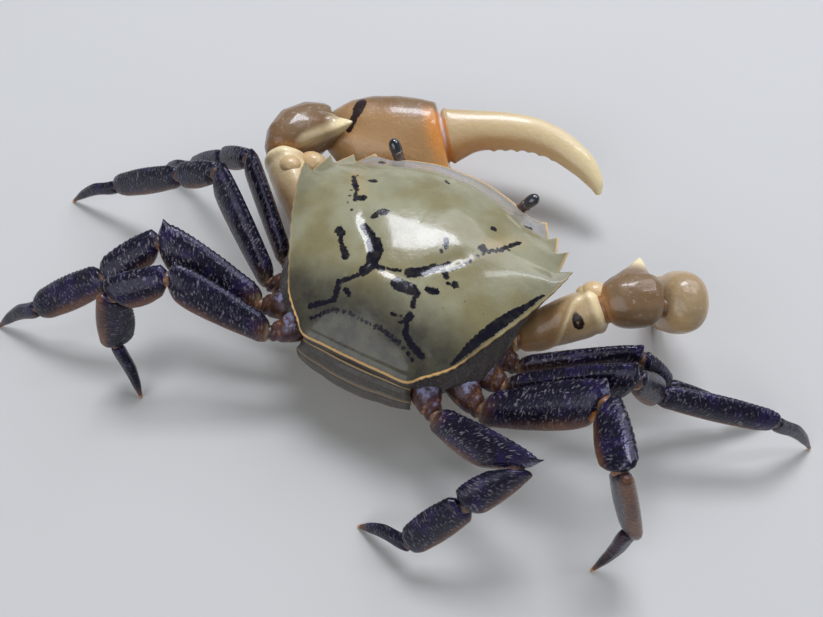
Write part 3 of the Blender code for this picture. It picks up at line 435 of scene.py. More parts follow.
class CrabColours(bpy.types.PropertyGroup):
    """Colours of the crab and the floor"""
    olive: colour_setting("Olive", "Main colour of the back shell", (0.255, 0.222, 0.108))
    moss: colour_setting("Grey green", "Second colour of the back shell", (0.335, 0.318, 0.200))
    slate: colour_setting("Slate", "Dark grey of the rear of the back shell", (0.034, 0.031, 0.024))
    # Violet grey of the front band, laid partly as painted sheen
    mauve_and_sheen: colour_setting("Mauve", "Violet grey of the band along the front", (0.345, 0.328, 0.345))
    gold: colour_setting("Gold", "Golden edge of the back shell", (0.72, 0.44, 0.17))
    ink: colour_setting("Ink", "Blue-black marks", (0.006, 0.005, 0.012))
    tan: colour_setting("Tan", "Main colour of the claws", (0.42, 0.235, 0.095))
    umber: colour_setting("Umber", "Brown of the claw's back", (0.125, 0.068, 0.034))
    cream: colour_setting("Cream", "Pale finger and rims", (0.92, 0.76, 0.44))
    orange: colour_setting("Orange", "Joint skins and finger edges", (0.68, 0.26, 0.045))
    night: colour_setting("Night", "Dark of the walking legs", (0.0055, 0.0045, 0.012))
    violet: colour_setting("Violet", "Violet patches of the legs", (0.022, 0.012, 0.075))
    fleck: colour_setting("Fleck", "Pale flecks of the legs", (0.25, 0.225, 0.24))
    amber: colour_setting("Amber", "Undersides of the legs", (0.20, 0.085, 0.03))
    # Pale blue-grey of the leg knobs, also laid as painted highlight on their upper sides
    pearl: colour_setting("Pearl", "Pale blue-grey knobs at the leg roots", (0.27, 0.28, 0.42))
    breast: colour_setting("Breast", "Underside plates", (0.52, 0.42, 0.27))
    floor: colour_setting("Floor", "Plain pale floor", (0.57, 0.56, 0.53))


def sizes():
    return bpy.context.scene.crab_sizes


def colours():
    return bpy.context.scene.crab_colours


# Shader maths: a socket with operators, and one maker for every other node

class Value:
    """A number socket that takes part in sums."""

    def __init__(self, paint, socket):
        self.paint = paint
        self.socket = socket

    def math(self, operation, first, second):
        return self.paint.number("ShaderNodeMath", {"operation": operation}, {0: first, 1: second})

    def __add__(self, other):
        return self.math("ADD", self, other)

    __radd__ = __add__

    def __mul__(self, other):
        return self.math("MULTIPLY", self, other)

    __rmul__ = __mul__

    def __sub__(self, other):
        return self.math("SUBTRACT", self, other)

    def __rsub__(self, other):
        return self.math("SUBTRACT", other, self)

    def high(self, other):
        return self.math("MAXIMUM", self, other)


class Paint:
    """One material, built node by node. Sizes are in millimetres on the object's own metres."""

    def __init__(self, name, roughness=0.4, coat=0.0, coat_roughness=0.1, specular=0.5, subsurface=0.0):
        self.material = bpy.data.materials.new(name)
        self.material.use_nodes = True
        self.tree = self.material.node_tree
        self.shader = self.tree.nodes["Principled BSDF"]
        constants = {"Roughness": roughness, "Coat Weight": coat, "Coat Roughness": coat_roughness,
                     "Specular IOR Level": specular, "Subsurface Weight": subsurface,
                     "Subsurface Scale": 0.001}
        for socket, value in constants.items():
            self.shader.inputs[socket].default_value = value
        self.here = self.node("ShaderNodeTexCoord", {}, {}).outputs["Object"]
        self.normal = None

    def node(self, kind, settings, values):
        made = self.tree.nodes.new(kind)
        for key, value in settings.items():
            setattr(made, key, value)
        for key, value in values.items():
            socket = made.inputs[key]
            if isinstance(value, Value):
                value = value.socket
            if isinstance(value, bpy.types.NodeSocket):
                self.tree.links.new(value, socket)
            elif hasattr(socket.default_value, "__len__") and len(socket.default_value) == 4:
                socket.default_value = (*value[:3], 1.0)
            else:
                socket.default_value = value
        return made

    def number(self, kind, settings, values, output=0):
        return Value(self, self.node(kind, settings, values).outputs[output])

    def layer(self, name):
        return self.number("ShaderNodeAttribute", {"attribute_name": name}, {}, "Fac")

    def turned(self, name, scale, turn):
        """A place kept in a layer, stretched and turned."""
        place = self.node("ShaderNodeAttribute", {"attribute_name": name}, {}).outputs["Vector"]
        values = {"Vector": place, "Scale": scale, "Rotation": turn}
        return self.node("ShaderNodeMapping", {}, values).outputs["Vector"]

    def noise(self, size, detail=3.0, rough=0.55, place=None):
        return self.number("ShaderNodeTexNoise", {}, {"Vector": self.here if place is None else place,
                                                      "Scale": 1.0 / (size * MM), "Detail": detail,
                                                      "Roughness": rough}, "Fac")

    def cells(self, size):
        return self.number("ShaderNodeTexVoronoi", {}, {"Vector": self.here, "Scale": 1.0 / (size * MM)},
                           "Distance")

    def ease(self, value, low, high):
        """A smooth step from 0 at low to 1 at high."""
        return self.number("ShaderNodeMapRange", {"interpolation_type": "SMOOTHSTEP"},
                           {"Value": value, "From Min": low, "From Max": high})

    def clouds(self, size, detail, low, high, rough=0.55):
        return self.ease(self.noise(size, detail, rough), low, high)

    def mix(self, share, first, second):
        return self.node("ShaderNodeMix", {"data_type": "RGBA"}, {0: share, 6: first, 7: second}).outputs[2]

    def over(self, share, colour):
        """Lay a share of a colour over the paint so far."""
        self.colour = self.mix(share, self.colour, colour)

    def dent(self, height, depth, strength):
        """Add bumps to those the paint has so far."""
        values = {"Height": height, "Distance": depth * MM, "Strength": strength}
        if self.normal is not None:
            values["Normal"] = self.normal
        self.normal = self.node("ShaderNodeBump", {}, values).outputs["Normal"]

    def finish(self, roughness=None, coat=None):
        for name, value in (("Roughness", roughness), ("Coat Weight", coat)):
            if value is not None:
                self.tree.links.new(value.socket, self.shader.inputs[name])
        self.tree.links.new(self.colour, self.shader.inputs["Base Color"])
        if self.normal is not None:
            self.tree.links.new(self.normal, self.shader.inputs["Normal"])
        return self.material


PAINTS = {}


def paint_once(maker):
    """Make a material the first time it is asked for and share it afterwards."""
    if maker not in PAINTS:
        PAINTS[maker] = maker()
    return PAINTS[maker]


def shell_paint():
    tone = colours()
    paint = Paint("crab_back_shell", specular=0.3)
    blotch = paint.clouds(2.6, 5.0, 0.38, 0.66, 0.65)
    paint.colour = paint.mix(paint.clouds(9.0, 3.0, 0.36, 0.64), tone.olive, tone.moss)
    paint.over(blotch * 0.1, tone.slate)
    paint.over(paint.layer("slate") * (0.86 + blotch * 0.14), tone.slate)
    # Violet-grey band ahead of the crest: partly the shell's own colour, partly painted sheen on the front
    # slope
    paint.over(paint.layer("band") * (0.45 + blotch * 0.35), tone.mauve_and_sheen)
    pepper = (1.0 - paint.ease(paint.cells(1.15), 0.05, 0.12)) * paint.clouds(5.0, 2.0, 0.45, 0.65)
    paint.over(pepper * 0.6, tone.ink)
    # Painted shade: the wall under the edge goes almost black and the underside of the rim partly, with
    # darker granule pits
    wall = paint.layer("wall")
    granules = paint.cells(0.42)
    paint.over(wall * 0.96, paint.mix(paint.ease(granules, 0.25, 0.6) * 0.6, WALL_PAINTED_SHADE, WALL_SHADED_PITS))
    gold = 1.0 - paint.ease(paint.layer("rim") + paint.noise(0.5) * 0.16, 0.2, 0.36)
    paint.over(gold * paint.layer("gilt"), tone.gold)
    paint.over(paint.layer("warm") * 0.35, tone.gold)
    fray = (paint.noise(0.42, 4.0, 0.7) - 0.5) * 0.9 + (paint.noise(1.6, 2.0) - 0.5) * 0.4
    ink = 1.0 - paint.ease(paint.layer("ink") + fray, -0.06, 0.07)
    paint.over(ink * (0.93 + paint.clouds(1.1, 3.0, 0.3, 0.62) * 0.07), tone.ink)
    paint.dent(paint.noise(1.4, 5.0, 0.62), 0.13, 0.5)
    paint.dent(paint.cells(0.34), 0.014, 0.5)
    paint.dent(granules * wall, 0.14, 0.8)
    coat = (0.5 - wall * 0.35) * (1.0 - ink * 0.7)
    return paint.finish(0.24 + blotch * 0.08 + wall * 0.2 - ink * 0.1, coat)


def claw_paint():
    tone = colours()
    paint = Paint("crab_claw_shell", coat=0.5, coat_roughness=0.14, specular=0.35, subsurface=0.05)
    cloud = paint.clouds(5.0, 4.0, 0.36, 0.64)
    speck = paint.noise(0.8, 4.0, 0.7)
    paint.colour = paint.mix(paint.layer("umber") * (0.72 + cloud * 0.28), tone.tan, tone.umber)
    paint.over(cloud * 0.3, CLAW_CLOUD)
    paint.over(paint.ease(speck, 0.56, 0.72) * paint.layer("mottled") * 0.6, CLAW_SPECK)
    paint.over(paint.layer("orange"), tone.orange)
    paint.over(paint.layer("cream"), tone.cream)
    fray = (paint.noise(0.5, 4.0, 0.7) - 0.5) * 0.5
    spot = (1.0 - paint.ease(paint.layer("ink") + fray, -0.1, 0.1)) * paint.layer("inked")
    paint.over(spot, CLAW_INK)
    paint.dent(paint.noise(1.1, 5.0, 0.6), 0.2, 0.5)
    paint.dent(paint.cells(0.5), 0.05, 0.5)
    return paint.finish(0.3 + speck * 0.14 - spot * 0.1, 0.5 - spot * 0.4)


def leg_paint():
    tone = colours()
    paint = Paint("crab_leg_shell", coat=0.22, coat_roughness=0.12, specular=0.35)
    paint.shader.inputs["Specular Tint"].default_value = LEG_GLEAM
    worms = paint.noise(0.46, 2.0, 0.45, paint.turned("local", (1.5, 0.75, 0.75), (0.3, 0.5, 0.35)))
    dashes = paint.noise(0.5, 3.0, 0.5, paint.turned("local", (0.6, 1.7, 1.7), (0.2, 0.1, 0.2)))
    density = paint.clouds(3.4, 3.0, 0.32, 0.62)
    strokes = paint.ease(worms, 0.58, 0.66).high(paint.ease(dashes, 0.62, 0.7))
    paint.colour = paint.mix(paint.clouds(3.0, 3.0, 0.5, 0.66) * 0.5, tone.night, tone.violet)
    paint.over(strokes * (0.3 + density * 0.7) * paint.layer("flecked") * 0.78, tone.fleck)
    paint.over(paint.layer("under") * (0.6 + density * 0.4), tone.amber)
    marbled = paint.noise(0.8, 4.0, 0.6) - 0.5
    # Pale blue-grey on the upper sides of the base lobes and joint ends: partly their own colour, partly
    # painted highlight
    paint.over(paint.ease(paint.layer("pearl") + marbled * 1.8, 0.35, 0.85) * 0.9, tone.pearl)
    paint.over(paint.ease(paint.layer("orange") + marbled * 0.9, 0.35, 0.8) * 0.85, tone.orange)
    paint.over(paint.layer("cream") * 0.8, tone.cream)
    paint.dent(worms, 0.2, 0.6)
    paint.dent(paint.noise(0.6, 4.0), 0.12, 0.45)
    return paint.finish(0.22 + density * 0.12)


def breast_paint():
    paint = Paint("crab_breast_shell", coat=0.25, coat_roughness=0.25, subsurface=0.05)
    cloud = paint.clouds(5.0, 4.0, 0.35, 0.66)
    grit = paint.cells(0.5)
    paint.colour = paint.mix(cloud * 0.55, colours().breast, BREAST_CLOUD)
    # Painted shade where the shade layer is high: the breast's top under the back shell, the tail's top
    # segments, and a little on the mouth plates
    paint.over(paint.layer("shade"), paint.mix(paint.ease(grit, 0.25, 0.6) * 0.5, BREAST_PAINTED_SHADE, BREAST_SHADED_PITS))
    paint.over(paint.layer("gold"), BREAST_GOLD)
    paint.over((1.0 - paint.ease(paint.layer("seam"), 0.1, 0.45)) * paint.layer("seamed"), BREAST_SEAM)
    paint.dent(paint.noise(1.0, 5.0, 0.6), 0.2, 0.5)
    paint.dent(grit, 0.05, 0.5)
    return paint.finish(0.4 + cloud * 0.12)


def joint_paint():
    paint = Paint("crab_joint_skin", roughness=0.45, coat=0.35, coat_roughness=0.2, subsurface=0.1)
    cloud = paint.clouds(1.6, 3.0, 0.35, 0.65)
    paint.colour = paint.mix(cloud, colours().orange, JOINT_TAN)
    paint.over(paint.layer("top") * (0.7 + cloud * 0.3), JOINT_DARK)
    paint.over(paint.layer("pale"), JOINT_PALE)
    paint.dent(paint.noise(0.5), 0.15, 0.6)
    return paint.finish()


def eye_paint():
    paint = Paint("crab_cornea", roughness=0.12, coat=1.0, coat_roughness=0.03, specular=0.6)
    paint.colour = paint.mix(paint.clouds(0.9, 3.0, 0.35, 0.7), EYE_BLACK, EYE_CLOUD)
    paint.dent(paint.cells(0.09), 0.004, 0.5)
    return paint.finish()


def stalk_paint():
    paint = Paint("crab_eyestalk", coat=0.4, coat_roughness=0.2)
    cloud = paint.clouds(0.8, 4.0, 0.35, 0.68)
    paint.colour = paint.mix(cloud, STALK_DARK, STALK_PALE)
    paint.dent(cloud, 0.05, 0.6)
    return paint.finish(0.35 + cloud * 0.15)


def floor_paint():
    paint = Paint("plain_floor", roughness=0.85, specular=0.25)
    paint.colour = paint.mix(paint.noise(60.0, 2.0) * 0.5, colours().floor, FLOOR_CLOUD)
    return paint.finish()


# Curves and steps

def catmull(before, here, there, after, t):
    return 0.5 * (2.0 * here + (there - before) * t
                  + (2.0 * before - 5.0 * here + 4.0 * there - after) * t * t
                  + (3.0 * here - before - 3.0 * there + after) * t ** 3)


def smooth_row(rows, position):
    """Read a table of equal tuples at a fractional row, on a smooth curve through its rows."""
    last = len(rows) - 1
    i = min(int(position), last - 1)
    four = [rows[max(0, min(last, i + k))] for k in (-1, 0, 1, 2)]
    return tuple(catmull(*[row[k] for row in four], position - i) for k in range(len(rows[0])))


def at_share(stations, share):
    """Read stations whose first number is a share or a length, smoothly between them."""
    last = len(stations) - 2
    i = next(i for i in range(last + 1) if share <= stations[i + 1][0] or i == last)
    t = clamp((share - stations[i][0]) / (stations[i + 1][0] - stations[i][0]))
    t = t * t * (3.0 - 2.0 * t) * 0.35 + t * 0.65
    return smooth_row([station[1:] for station in stations], i + t)


def straight_read(stations, share):
    """Read stations of (length, value) in straight steps."""
    for (u0, v0), (u1, v1) in zip(stations, stations[1:]):
        if share <= u1:
            return v0 + (v1 - v0) * max(0.0, (share - u0) / (u1 - u0))
    return stations[-1][1]


def heading(yaw, climb):
    yaw, climb = math.radians(yaw), math.radians(climb)
    return Vector((math.cos(climb) * math.cos(yaw), math.cos(climb) * math.sin(yaw), math.sin(climb)))


def flat(way):
    """The level direction of a way."""
    return Vector((way.x, way.y, 0.0)).normalized()


def to_stroke(x, y, points):
    """Distance from a point in plan to a row of straight strokes."""
    best = FAR
    for (ax, ay), (bx, by) in zip(points, points[1:]):
        dx, dy = bx - ax, by - ay
        size = dx * dx + dy * dy
        t = 0.0 if size == 0.0 else clamp(((x - ax) * dx + (y - ay) * dy) / size)
        best = min(best, math.hypot(x - ax - dx * t, y - ay - dy * t))
    return best


def bell(distance, width):
    return math.exp(-(distance / width) ** 2)


def clamp(value):
    return max(0.0, min(1.0, value))


def step(value, low, high):
    t = clamp((value - low) / (high - low))
    return t * t * (3.0 - 2.0 * t)


def power(value, exponent):
    return math.copysign(abs(value) ** exponent, value)


def rounded_end(distance, length, least):
    """Share of the full section near an end, from least at the end to 1 at a length from it."""
    if distance >= length:
        return 1.0
    return least + (1.0 - least) * math.sqrt(max(0.0, 1.0 - (1.0 - distance / length) ** 2))


def turns(sides):
    """Angle, cosine and sine of equal steps once round."""
    for i in range(sides):
        turn = 2.0 * math.pi * i / sides
        yield turn, math.cos(turn), math.sin(turn)


# Mesh helpers

def ring_skin(rings, start="fill", end="fill"):
    """Extrude a loop of edges from ring to ring. Ends are filled, or drawn to a point."""
    bm = bmesh.new()
    row = [bm.verts.new(point) for point in rings[0]]
    edges = [bm.edges.new(pair) for pair in zip(row, row[1:] + row[:1])]
    rows = [row]
    for ring in rings[1:]:
        made = bmesh.ops.extrude_edge_only(bm, edges=edges)["geom"]
        fresh = {item for item in made if isinstance(item, bmesh.types.BMVert)}
        row = [next(edge.other_vert(vert) for edge in vert.link_edges if edge.other_vert(vert) in fresh)
               for vert in rows[-1]]
        edges = [bm.edges.get(pair) for pair in zip(row, row[1:] + row[:1])]
        for vert, point in zip(row, ring):
            vert.co = point
        rows.append(row)
    for way, row in ((start, rows[0]), (end, rows[-1])):
        if way == "fill":
            bmesh.ops.contextual_create(bm, geom=[bm.edges.get(pair) for pair in zip(row, row[1:] + row[:1])])
        else:
            middle = sum((vert.co for vert in row), Vector()) / len(row)
            bmesh.ops.pointmerge(bm, verts=row, merge_co=middle)
    bmesh.ops.recalc_face_normals(bm, faces=bm.faces)
    return bm


def set_layers(bm, rule):
    """Give each vertex the named numbers that a rule works out from its place."""
    bm.verts.ensure_lookup_table()
    kinds = {}
    for name, value in rule(bm.verts[0].co).items():
        kinds[name] = bm.verts.layers.float_vector if isinstance(value, Vector) else bm.verts.layers.float
        kinds[name].new(name)
    layers = {name: kind[name] for name, kind in kinds.items()}
    for vert in bm.verts:
        for name, value in rule(vert.co).items():
            vert[layers[name]] = value


def to_metres(bm):
    bmesh.ops.translate(bm, vec=SHIFT, verts=bm.verts)
    bmesh.ops.scale(bm, vec=(MM, MM, MM), verts=bm.verts)


def mesh_from(name, bm):
    mesh = bpy.data.meshes.new(name)
    bm.to_mesh(mesh)
    bm.free()
    return mesh


def put_in_scene(name, data):
    made = bpy.data.objects.new(name, data)
    bpy.context.scene.collection.objects.link(made)
    return made


def make_piece(name, bm, maker, slot, *nodes):
    """Turn a mesh in the crab's millimetres into a finished piece on the crab."""
    to_metres(bm)
    for vert in bm.verts:
        vert.co.z = max(vert.co.z, 0.0)
    mesh = mesh_from(name, bm)
    mesh.shade_smooth()
    mesh.materials.append(paint_once(maker))
    piece = put_in_scene(name, mesh)
    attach(piece, "root")
    if nodes:
        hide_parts(*nodes)


def ring_piece(name, node, rings, notes, rule, maker, slot, ends=("fill", "fill"), missing=(Vector(), 0.0)):
    """A piece skinned over rings. Its layers come from each point's pair of notes and its place."""
    def key(place):
        return tuple(round(value, 3) for value in place)

    noted = {key(point): pair for ring, row in zip(rings, notes) for point, pair in zip(ring, row)}
    bm = ring_skin(rings, *ends)
    set_layers(bm, lambda place: rule(*noted.get(key(place), missing), place))
    make_piece(name, bm, maker, slot, node)


def add_ball(bm, middle, radii, detail=3):
    made = bmesh.ops.create_icosphere(bm, subdivisions=detail, radius=1.0)
    bmesh.ops.scale(bm, vec=radii, verts=made["verts"])
    bmesh.ops.translate(bm, vec=middle, verts=made["verts"])


# Back shell

def mirrored_loop(half):
    right = [Vector((-x, y, z)) for x, y, z in half]
    left = [Vector((x, y, z)) for x, y, z in reversed(half[1:-1])]
    return right + left


def edge_loops():
    """The worn edge without its teeth, the edge with them, the wall's foot, and each point's kind."""
    worn = []
    for i, entry in enumerate(EDGE):
        worn.append(entry[1:4])
        if entry[0] == "tooth":
            before, after = EDGE[i - 1], EDGE[i + 1]
            worn[-1] = tuple(before[k] + (after[k] - before[k]) * TOOTH_ROOT for k in (1, 2, 3))
    feet = [(entry[4], entry[5], RIM_LEVEL) for entry in EDGE]
    fine_worn, fine_edge, fine_feet, kinds = [], [], [], []
    for i in range(len(EDGE) - 1):
        for k in range(EDGE_STEPS):
            t = k / EDGE_STEPS
            blade = Vector(smooth_row(worn, i + t))
            fine_worn.append(tuple(blade))
            for corner, share in ((i, 1.0 - t), (i + 1, t)):
                if EDGE[corner][0] == "tooth":
                    blade += (Vector(EDGE[corner][1:4]) - Vector(worn[corner])) * share
            fine_edge.append(tuple(blade))
            fine_feet.append(smooth_row(feet, i + t))
            ahead_of_tooth = EDGE[i + 1][0] == "tooth" and EDGE[i][0] == "notch"
            kinds.append("fore" if ahead_of_tooth and t > 0.0 else EDGE[i if t < 0.5 else i + 1][0])
    for fine, coarse in ((fine_worn, worn), (fine_edge, worn), (fine_feet, feet)):
        fine.append(coarse[-1])
    kinds.append("rear")
    kinds += reversed(kinds[1:-1])
    return mirrored_loop(fine_worn), mirrored_loop(fine_edge), mirrored_loop(fine_feet), kinds


def shell_relief(x, y):
    """Height added to the plain dome by crests, grooves and swellings, in millimetres."""
    size = sizes()
    side = abs(x)
    lift = size.crest_height / MM * bell(to_stroke(side, y, CREST), CREST_WIDTH)
    ahead = -y - 9.6 - 0.09 * max(0.0, 8.0 - side)
    lift -= BAND_DROP * step(ahead, -0.4, 2.0) * (1.0 - step(side, 14.5, 17.5))
    lift += BROW_HEIGHT * bell(to_stroke(side, y, BROW), BROW_WIDTH)
    for depth, width, points in GROOVES:
        lift -= size.groove_scale * depth * bell(to_stroke(side, y, points), width * GROOVE_WIDENING)
    for height, width, middle_x, middle_y, squash in SWELLINGS:
        lift += height * bell(math.hypot(side - middle_x, (y - middle_y) * squash), width)
    return lift


def ink_distance(x, y):
    """Distance to the nearest blue-black mark, negative inside it."""
    best = NO_INK
    for radius, points in MARKS:
        best = min(best, to_stroke(x, y, points) - radius)
    for radius, spot in DOTS:
        best = min(best, math.hypot(x - spot.x, y - spot.y) - radius - 0.12)
    return best


def eased_loop(loop, rounds):
    """A closed row of points with its corners eased away by averaging with the neighbours."""
    for _ in range(rounds):
        loop = [here * 0.5 + (before + after) * 0.25
                for before, here, after in zip(loop[-1:] + loop[:-1], loop, loop[1:] + loop[:1])]
    return loop


def dome_rings(worn):
    """Rings of the dome out to the blade of the edge, with (wall share, distance from the rim)."""
    rings, notes = [], []
    eased = eased_loop(worn, EASING_ROUNDS)
    for i in range(DOME_RINGS):
        share = DOME_START + (BLADE_START - DOME_START) * (i / (DOME_RINGS - 1)) ** 0.8
        corner = step(share, 0.5, 0.93)
        relief_share = 0.25 + 0.75 * (1.0 - step(share, 0.9, 0.96))
        ring, row = [], []
        for soft_point, worn_point in zip(eased, worn):
            point = soft_point.lerp(worn_point, corner)
            spot = DOME_CENTRE + (Vector((point.x, point.y, 0.0)) - DOME_CENTRE) * share
            spot.z = point.z + (SHELL_TOP - point.z) * (1.0 - share ** DOME_POWER)
            spot.z += shell_relief(spot.x, spot.y) * relief_share
            ring.append(spot)
            row.append((0.0, (1.0 - share) * (point - DOME_CENTRE).length))
        rings.append(ring)
        notes.append(row)
    return rings, notes


def shell_layers(wall, rim, place):
    """The numbers that the back shell's paint reads."""
    x, y = place.x, place.y
    side = abs(x)
    ink, warm = NO_INK, 0.0
    if wall < 0.1:
        for share, width, points in WARM_STREAKS:
            warm += share * bell(to_stroke(side, y, points), width)
        ink = ink_distance(x, y)
        streak_share = (y - REAR_STREAK[0]) / (REAR_STREAK[1] - REAR_STREAK[0])
        if 0.0 < streak_share < 1.0 and x < 0.0:
            half = REAR_STREAK_HALF * math.sin(math.pi * streak_share) ** 0.7
            ink = min(ink, abs(rim - REAR_STREAK_INSET - half) - half + 0.1)
    rim *= 1.0 - 0.7 * (1.0 - step(y, -12.5, -9.5))
    rim *= 1.0 - 0.45 * step(side, 14.5, 16.5) * (1.0 - step(y, -5.0, -2.0))
    # Mask of the front band, where the paint lays violet grey that is partly painted sheen
    band = step(straight_read(CREST, side) - y, -0.35, 1.1) * (1.0 - step(side, 14.2, 16.0))
    return {"ink": ink, "rim": min(rim, 3.0), "wall": wall, "band": band * (1.0 - wall), "warm": warm,
            "slate": max(0.97 * step(y, 7.5, 14.5), 0.25 * step(side, 15.0, 19.0)),
            "gilt": 0.25 + 0.75 * max(1.0 - step(y, -12.0, -2.0), step(y, 12.0, 16.0))}


def make_back_shell():
    worn, edge, feet, kinds = edge_loops()
    rings, notes = dome_rings(worn)
    start = rings[-1]
    for t in BLADE_SHARES:
        ring, row = [], []
        for inside, tip, kind in zip(start, edge, kinds):
            spot = inside.lerp(tip, t)
            if kind in ("front", "orbit", "rear"):
                spot.z += 0.12 * math.sin(math.pi * t)
            ring.append(spot)
            row.append((0.0, 3.0 if kind == "fore" else (1.0 - t) * (tip - inside).length))
        rings.append(ring)
        notes.append(row)
    beads = [SIDE_BEAD * (0.5 + 0.5 * math.cos(i * math.pi / 2.0)) if kind == "side" else 0.0
             for i, kind in enumerate(kinds)]
    # The wall shares noted below also set how much painted shade the shell paint lays on: a little on the
    # beaded rim, half under the lip, nearly all on the wall
    for out, drop in RIM_SECTION:
        rings.append([tip + flat(tip - inside) * (out + bead) + UP * drop
                      for inside, tip, bead in zip(start, edge, beads)])
        notes.append([(0.25, 0.0)] * len(worn))
    under = []
    for point, kind in zip(worn, kinds):
        inset = 0.1 if kind in ("rear", "side") else 0.5
        under.append(point - UP * RIM_DEPTH - flat(point - DOME_CENTRE) * inset)
    rings.append([lip.lerp(below, 0.6) for lip, below in zip(rings[-1], under)])
    notes.append([(0.5, 0.8)] * len(worn))
    for t in WALL_SHARES:
        ring = []
        for top, foot, kind in zip(under, feet, kinds):
            bulge = (0.5 if kind == "side" else 0.15) * math.sin(math.pi * t) * (0.4 + 0.6 * t)
            ring.append(top.lerp(foot, t) + flat(foot - BREAST_MIDDLE) * bulge)
        rings.append(ring)
        notes.append([(1.0, 3.0)] * len(worn))
    ring_piece("back_shell", "carapace", rings, notes, shell_layers, shell_paint, "shell",
               ("point", "fill"), (0.0, NO_INK))


# Breast and tail

def from_suture(x, y):
    return min(3.0, *(abs(y - line - SUTURE_SLANT * abs(x)) for line in BREAST_SUTURES))


def make_breast():
    count = (len(BREAST_OUTLINE) - 1) * BREAST_STEPS
    corners = [smooth_row(BREAST_OUTLINE, i / BREAST_STEPS) for i in range(count)]
    loop = mirrored_loop([(max(0.0, x), y, 0.0) for x, y in (*corners, BREAST_OUTLINE[-1])])
    levels = []
    for (z0, s0), (z1, s1) in zip(BREAST_LEVELS, BREAST_LEVELS[1:]):
        levels += [(z0 + (z1 - z0) * k / BREAST_STEPS, s0 + (s1 - s0) * k / BREAST_STEPS)
                   for k in range(BREAST_STEPS)]
    low_z, low_share = BREAST_LEVELS[-1]
    levels.append((low_z + 0.12, low_share + 0.006))
    levels += [(low_z, low_share * (1.0 - k / BREAST_FLOOR_RINGS)) for k in range(1, BREAST_FLOOR_RINGS)]
    rings = []
    for z, share in levels:
        rings.append([BREAST_MIDDLE + (point - BREAST_MIDDLE) * share + UP * z for point in loop])
    bm = ring_skin(rings, "fill", "point")
    for vert in bm.verts:
        x, y, z = vert.co
        if z < BREAST_LEVELS[0][0] + 0.1 and abs(x) > 1.0:
            sunk = SUTURE_DEPTH * bell(from_suture(x, y), SUTURE_WIDTH) * step(abs(x), 2.5, 4.5)
            low = step(z, 6.0, 3.8)
            vert.co += UP * sunk * low - flat(vert.co - BREAST_MIDDLE) * sunk * (1.0 - low)
    set_layers(bm, lambda place: {"seam": from_suture(place.x, place.y), "gold": 0.0,
                                  "seamed": step(abs(place.x), 2.5, 4.5),
                                  "shade": step(place.z, 5.5, 8.8) * 0.95})
    make_piece("breast_plate", bm, breast_paint, "belly", "thorax")


def tail_layers(position, near, place):
    top = 1.0 - step(position, 2.4, 4.0)
    return {"gold": bell(near, 0.04) * 0.9 if 0.2 < position < 2.0 else 0.0,
            "shade": 0.96 * top, "seam": near * 2.0, "seamed": 1.0 - top}


def make_tail():
    """The folded tail: a crowned band with a raised hem at each segment's rear edge."""
    last = len(TAIL_STATIONS) - 1
    across = [2.0 * i / (TAIL_ACROSS - 1) - 1.0 for i in range(TAIL_ACROSS)]
    rings, notes = [], []
    steps = last * TAIL_STEPS
    for n in range(steps + 1):
        position = n * last / steps
        y, z, half = smooth_row(TAIL_STATIONS, position)
        before = smooth_row(TAIL_STATIONS, max(0.0, position - 0.1))
        after = smooth_row(TAIL_STATIONS, min(float(last), position + 0.1))
        along = Vector((0.0, after[0] - before[0], after[1] - before[1])).normalized()
        out = Vector((0.0, -along.z, along.y))
        near = min(abs(position - seam) for seam in TAIL_SEAMS)
        past = min(abs(position - seam - 0.22) for seam in TAIL_SEAMS)
        hem = TAIL_HEM * bell(near, 0.09) - TAIL_DIP * bell(past, 0.12)
        thick = TAIL_THICKNESS * (0.6 if n == steps else 1.0)
        middle = Vector((0.0, y, z))
        half *= 1.0 + 0.02 * bell(near, 0.3)
        ring = []
        for side in across:
            lift = thick * (0.5 - TAIL_CROWN * side * side) + hem * (1.0 - side ** 6)
            lift -= TAIL_FLANK * bell(abs(side) - 0.52, 0.13)
            ring.append(middle + Vector((side * half, 0, 0)) + out * lift)
        for side in reversed(across):
            inward = thick * (0.5 + 0.5 * side * side) * 0.6
            ring.append(middle + Vector((side * half * 0.97, 0, 0)) - out * inward)
        rings.append(ring)
        notes.append([(position, near)] * TAIL_ACROSS + [TAIL_INSIDE] * TAIL_ACROSS)
    ring_piece("folded_tail", "tail_plate", rings, notes, tail_layers, breast_paint, "belly",
               missing=TAIL_INSIDE)


# Head

def round_rings(start, end, stations, sides):
    """Round sections along a straight axis: stations are (share, radius)."""
    along = (end - start).normalized()
    tall = along.cross(UP).normalized()
    thick = along.cross(tall).normalized()
    return [[start.lerp(end, share) + (tall * c + thick * s) * radius for _, c, s in turns(sides)]
            for share, radius in stations]


def make_eye(side, sign):
    root, eye = (Vector((sign * x, y, z)) for x, y, z in (STALK_ROOT, EYE_PLACE))
    along = (eye - root).normalized()
    seat = eye - along * EYE_LENGTH * 0.45
    stalk = []
    for i in range(STALK_RINGS):
        share = i / (STALK_RINGS - 1)
        stalk.append((share, 0.78 + 0.16 * math.cos(2.0 * math.pi * share) ** 2 - 0.06 * (share == 1.0)))
    bm = ring_skin(round_rings(root, seat + along * 0.25, stalk, STALK_SIDES))
    make_piece("eyestalk_skin_" + side, bm, stalk_paint, "claw", "eyestalk_" + side)
    stations = []
    for i in range(EYE_RINGS):
        share = i / (EYE_RINGS - 1)
        swell = math.sqrt(max(0.0, 1.0 - abs(1.62 * share - 0.62) ** 2.3))
        stations.append((share, EYE_RADIUS * max(swell, 0.05)))
    rings = round_rings(seat, seat + along * (EYE_LENGTH + 0.1), stations, EYE_SIDES)
    bm = ring_skin(rings, "fill", "point")
    make_piece("cornea_" + side, bm, eye_paint, "eye", "eye_" + side)


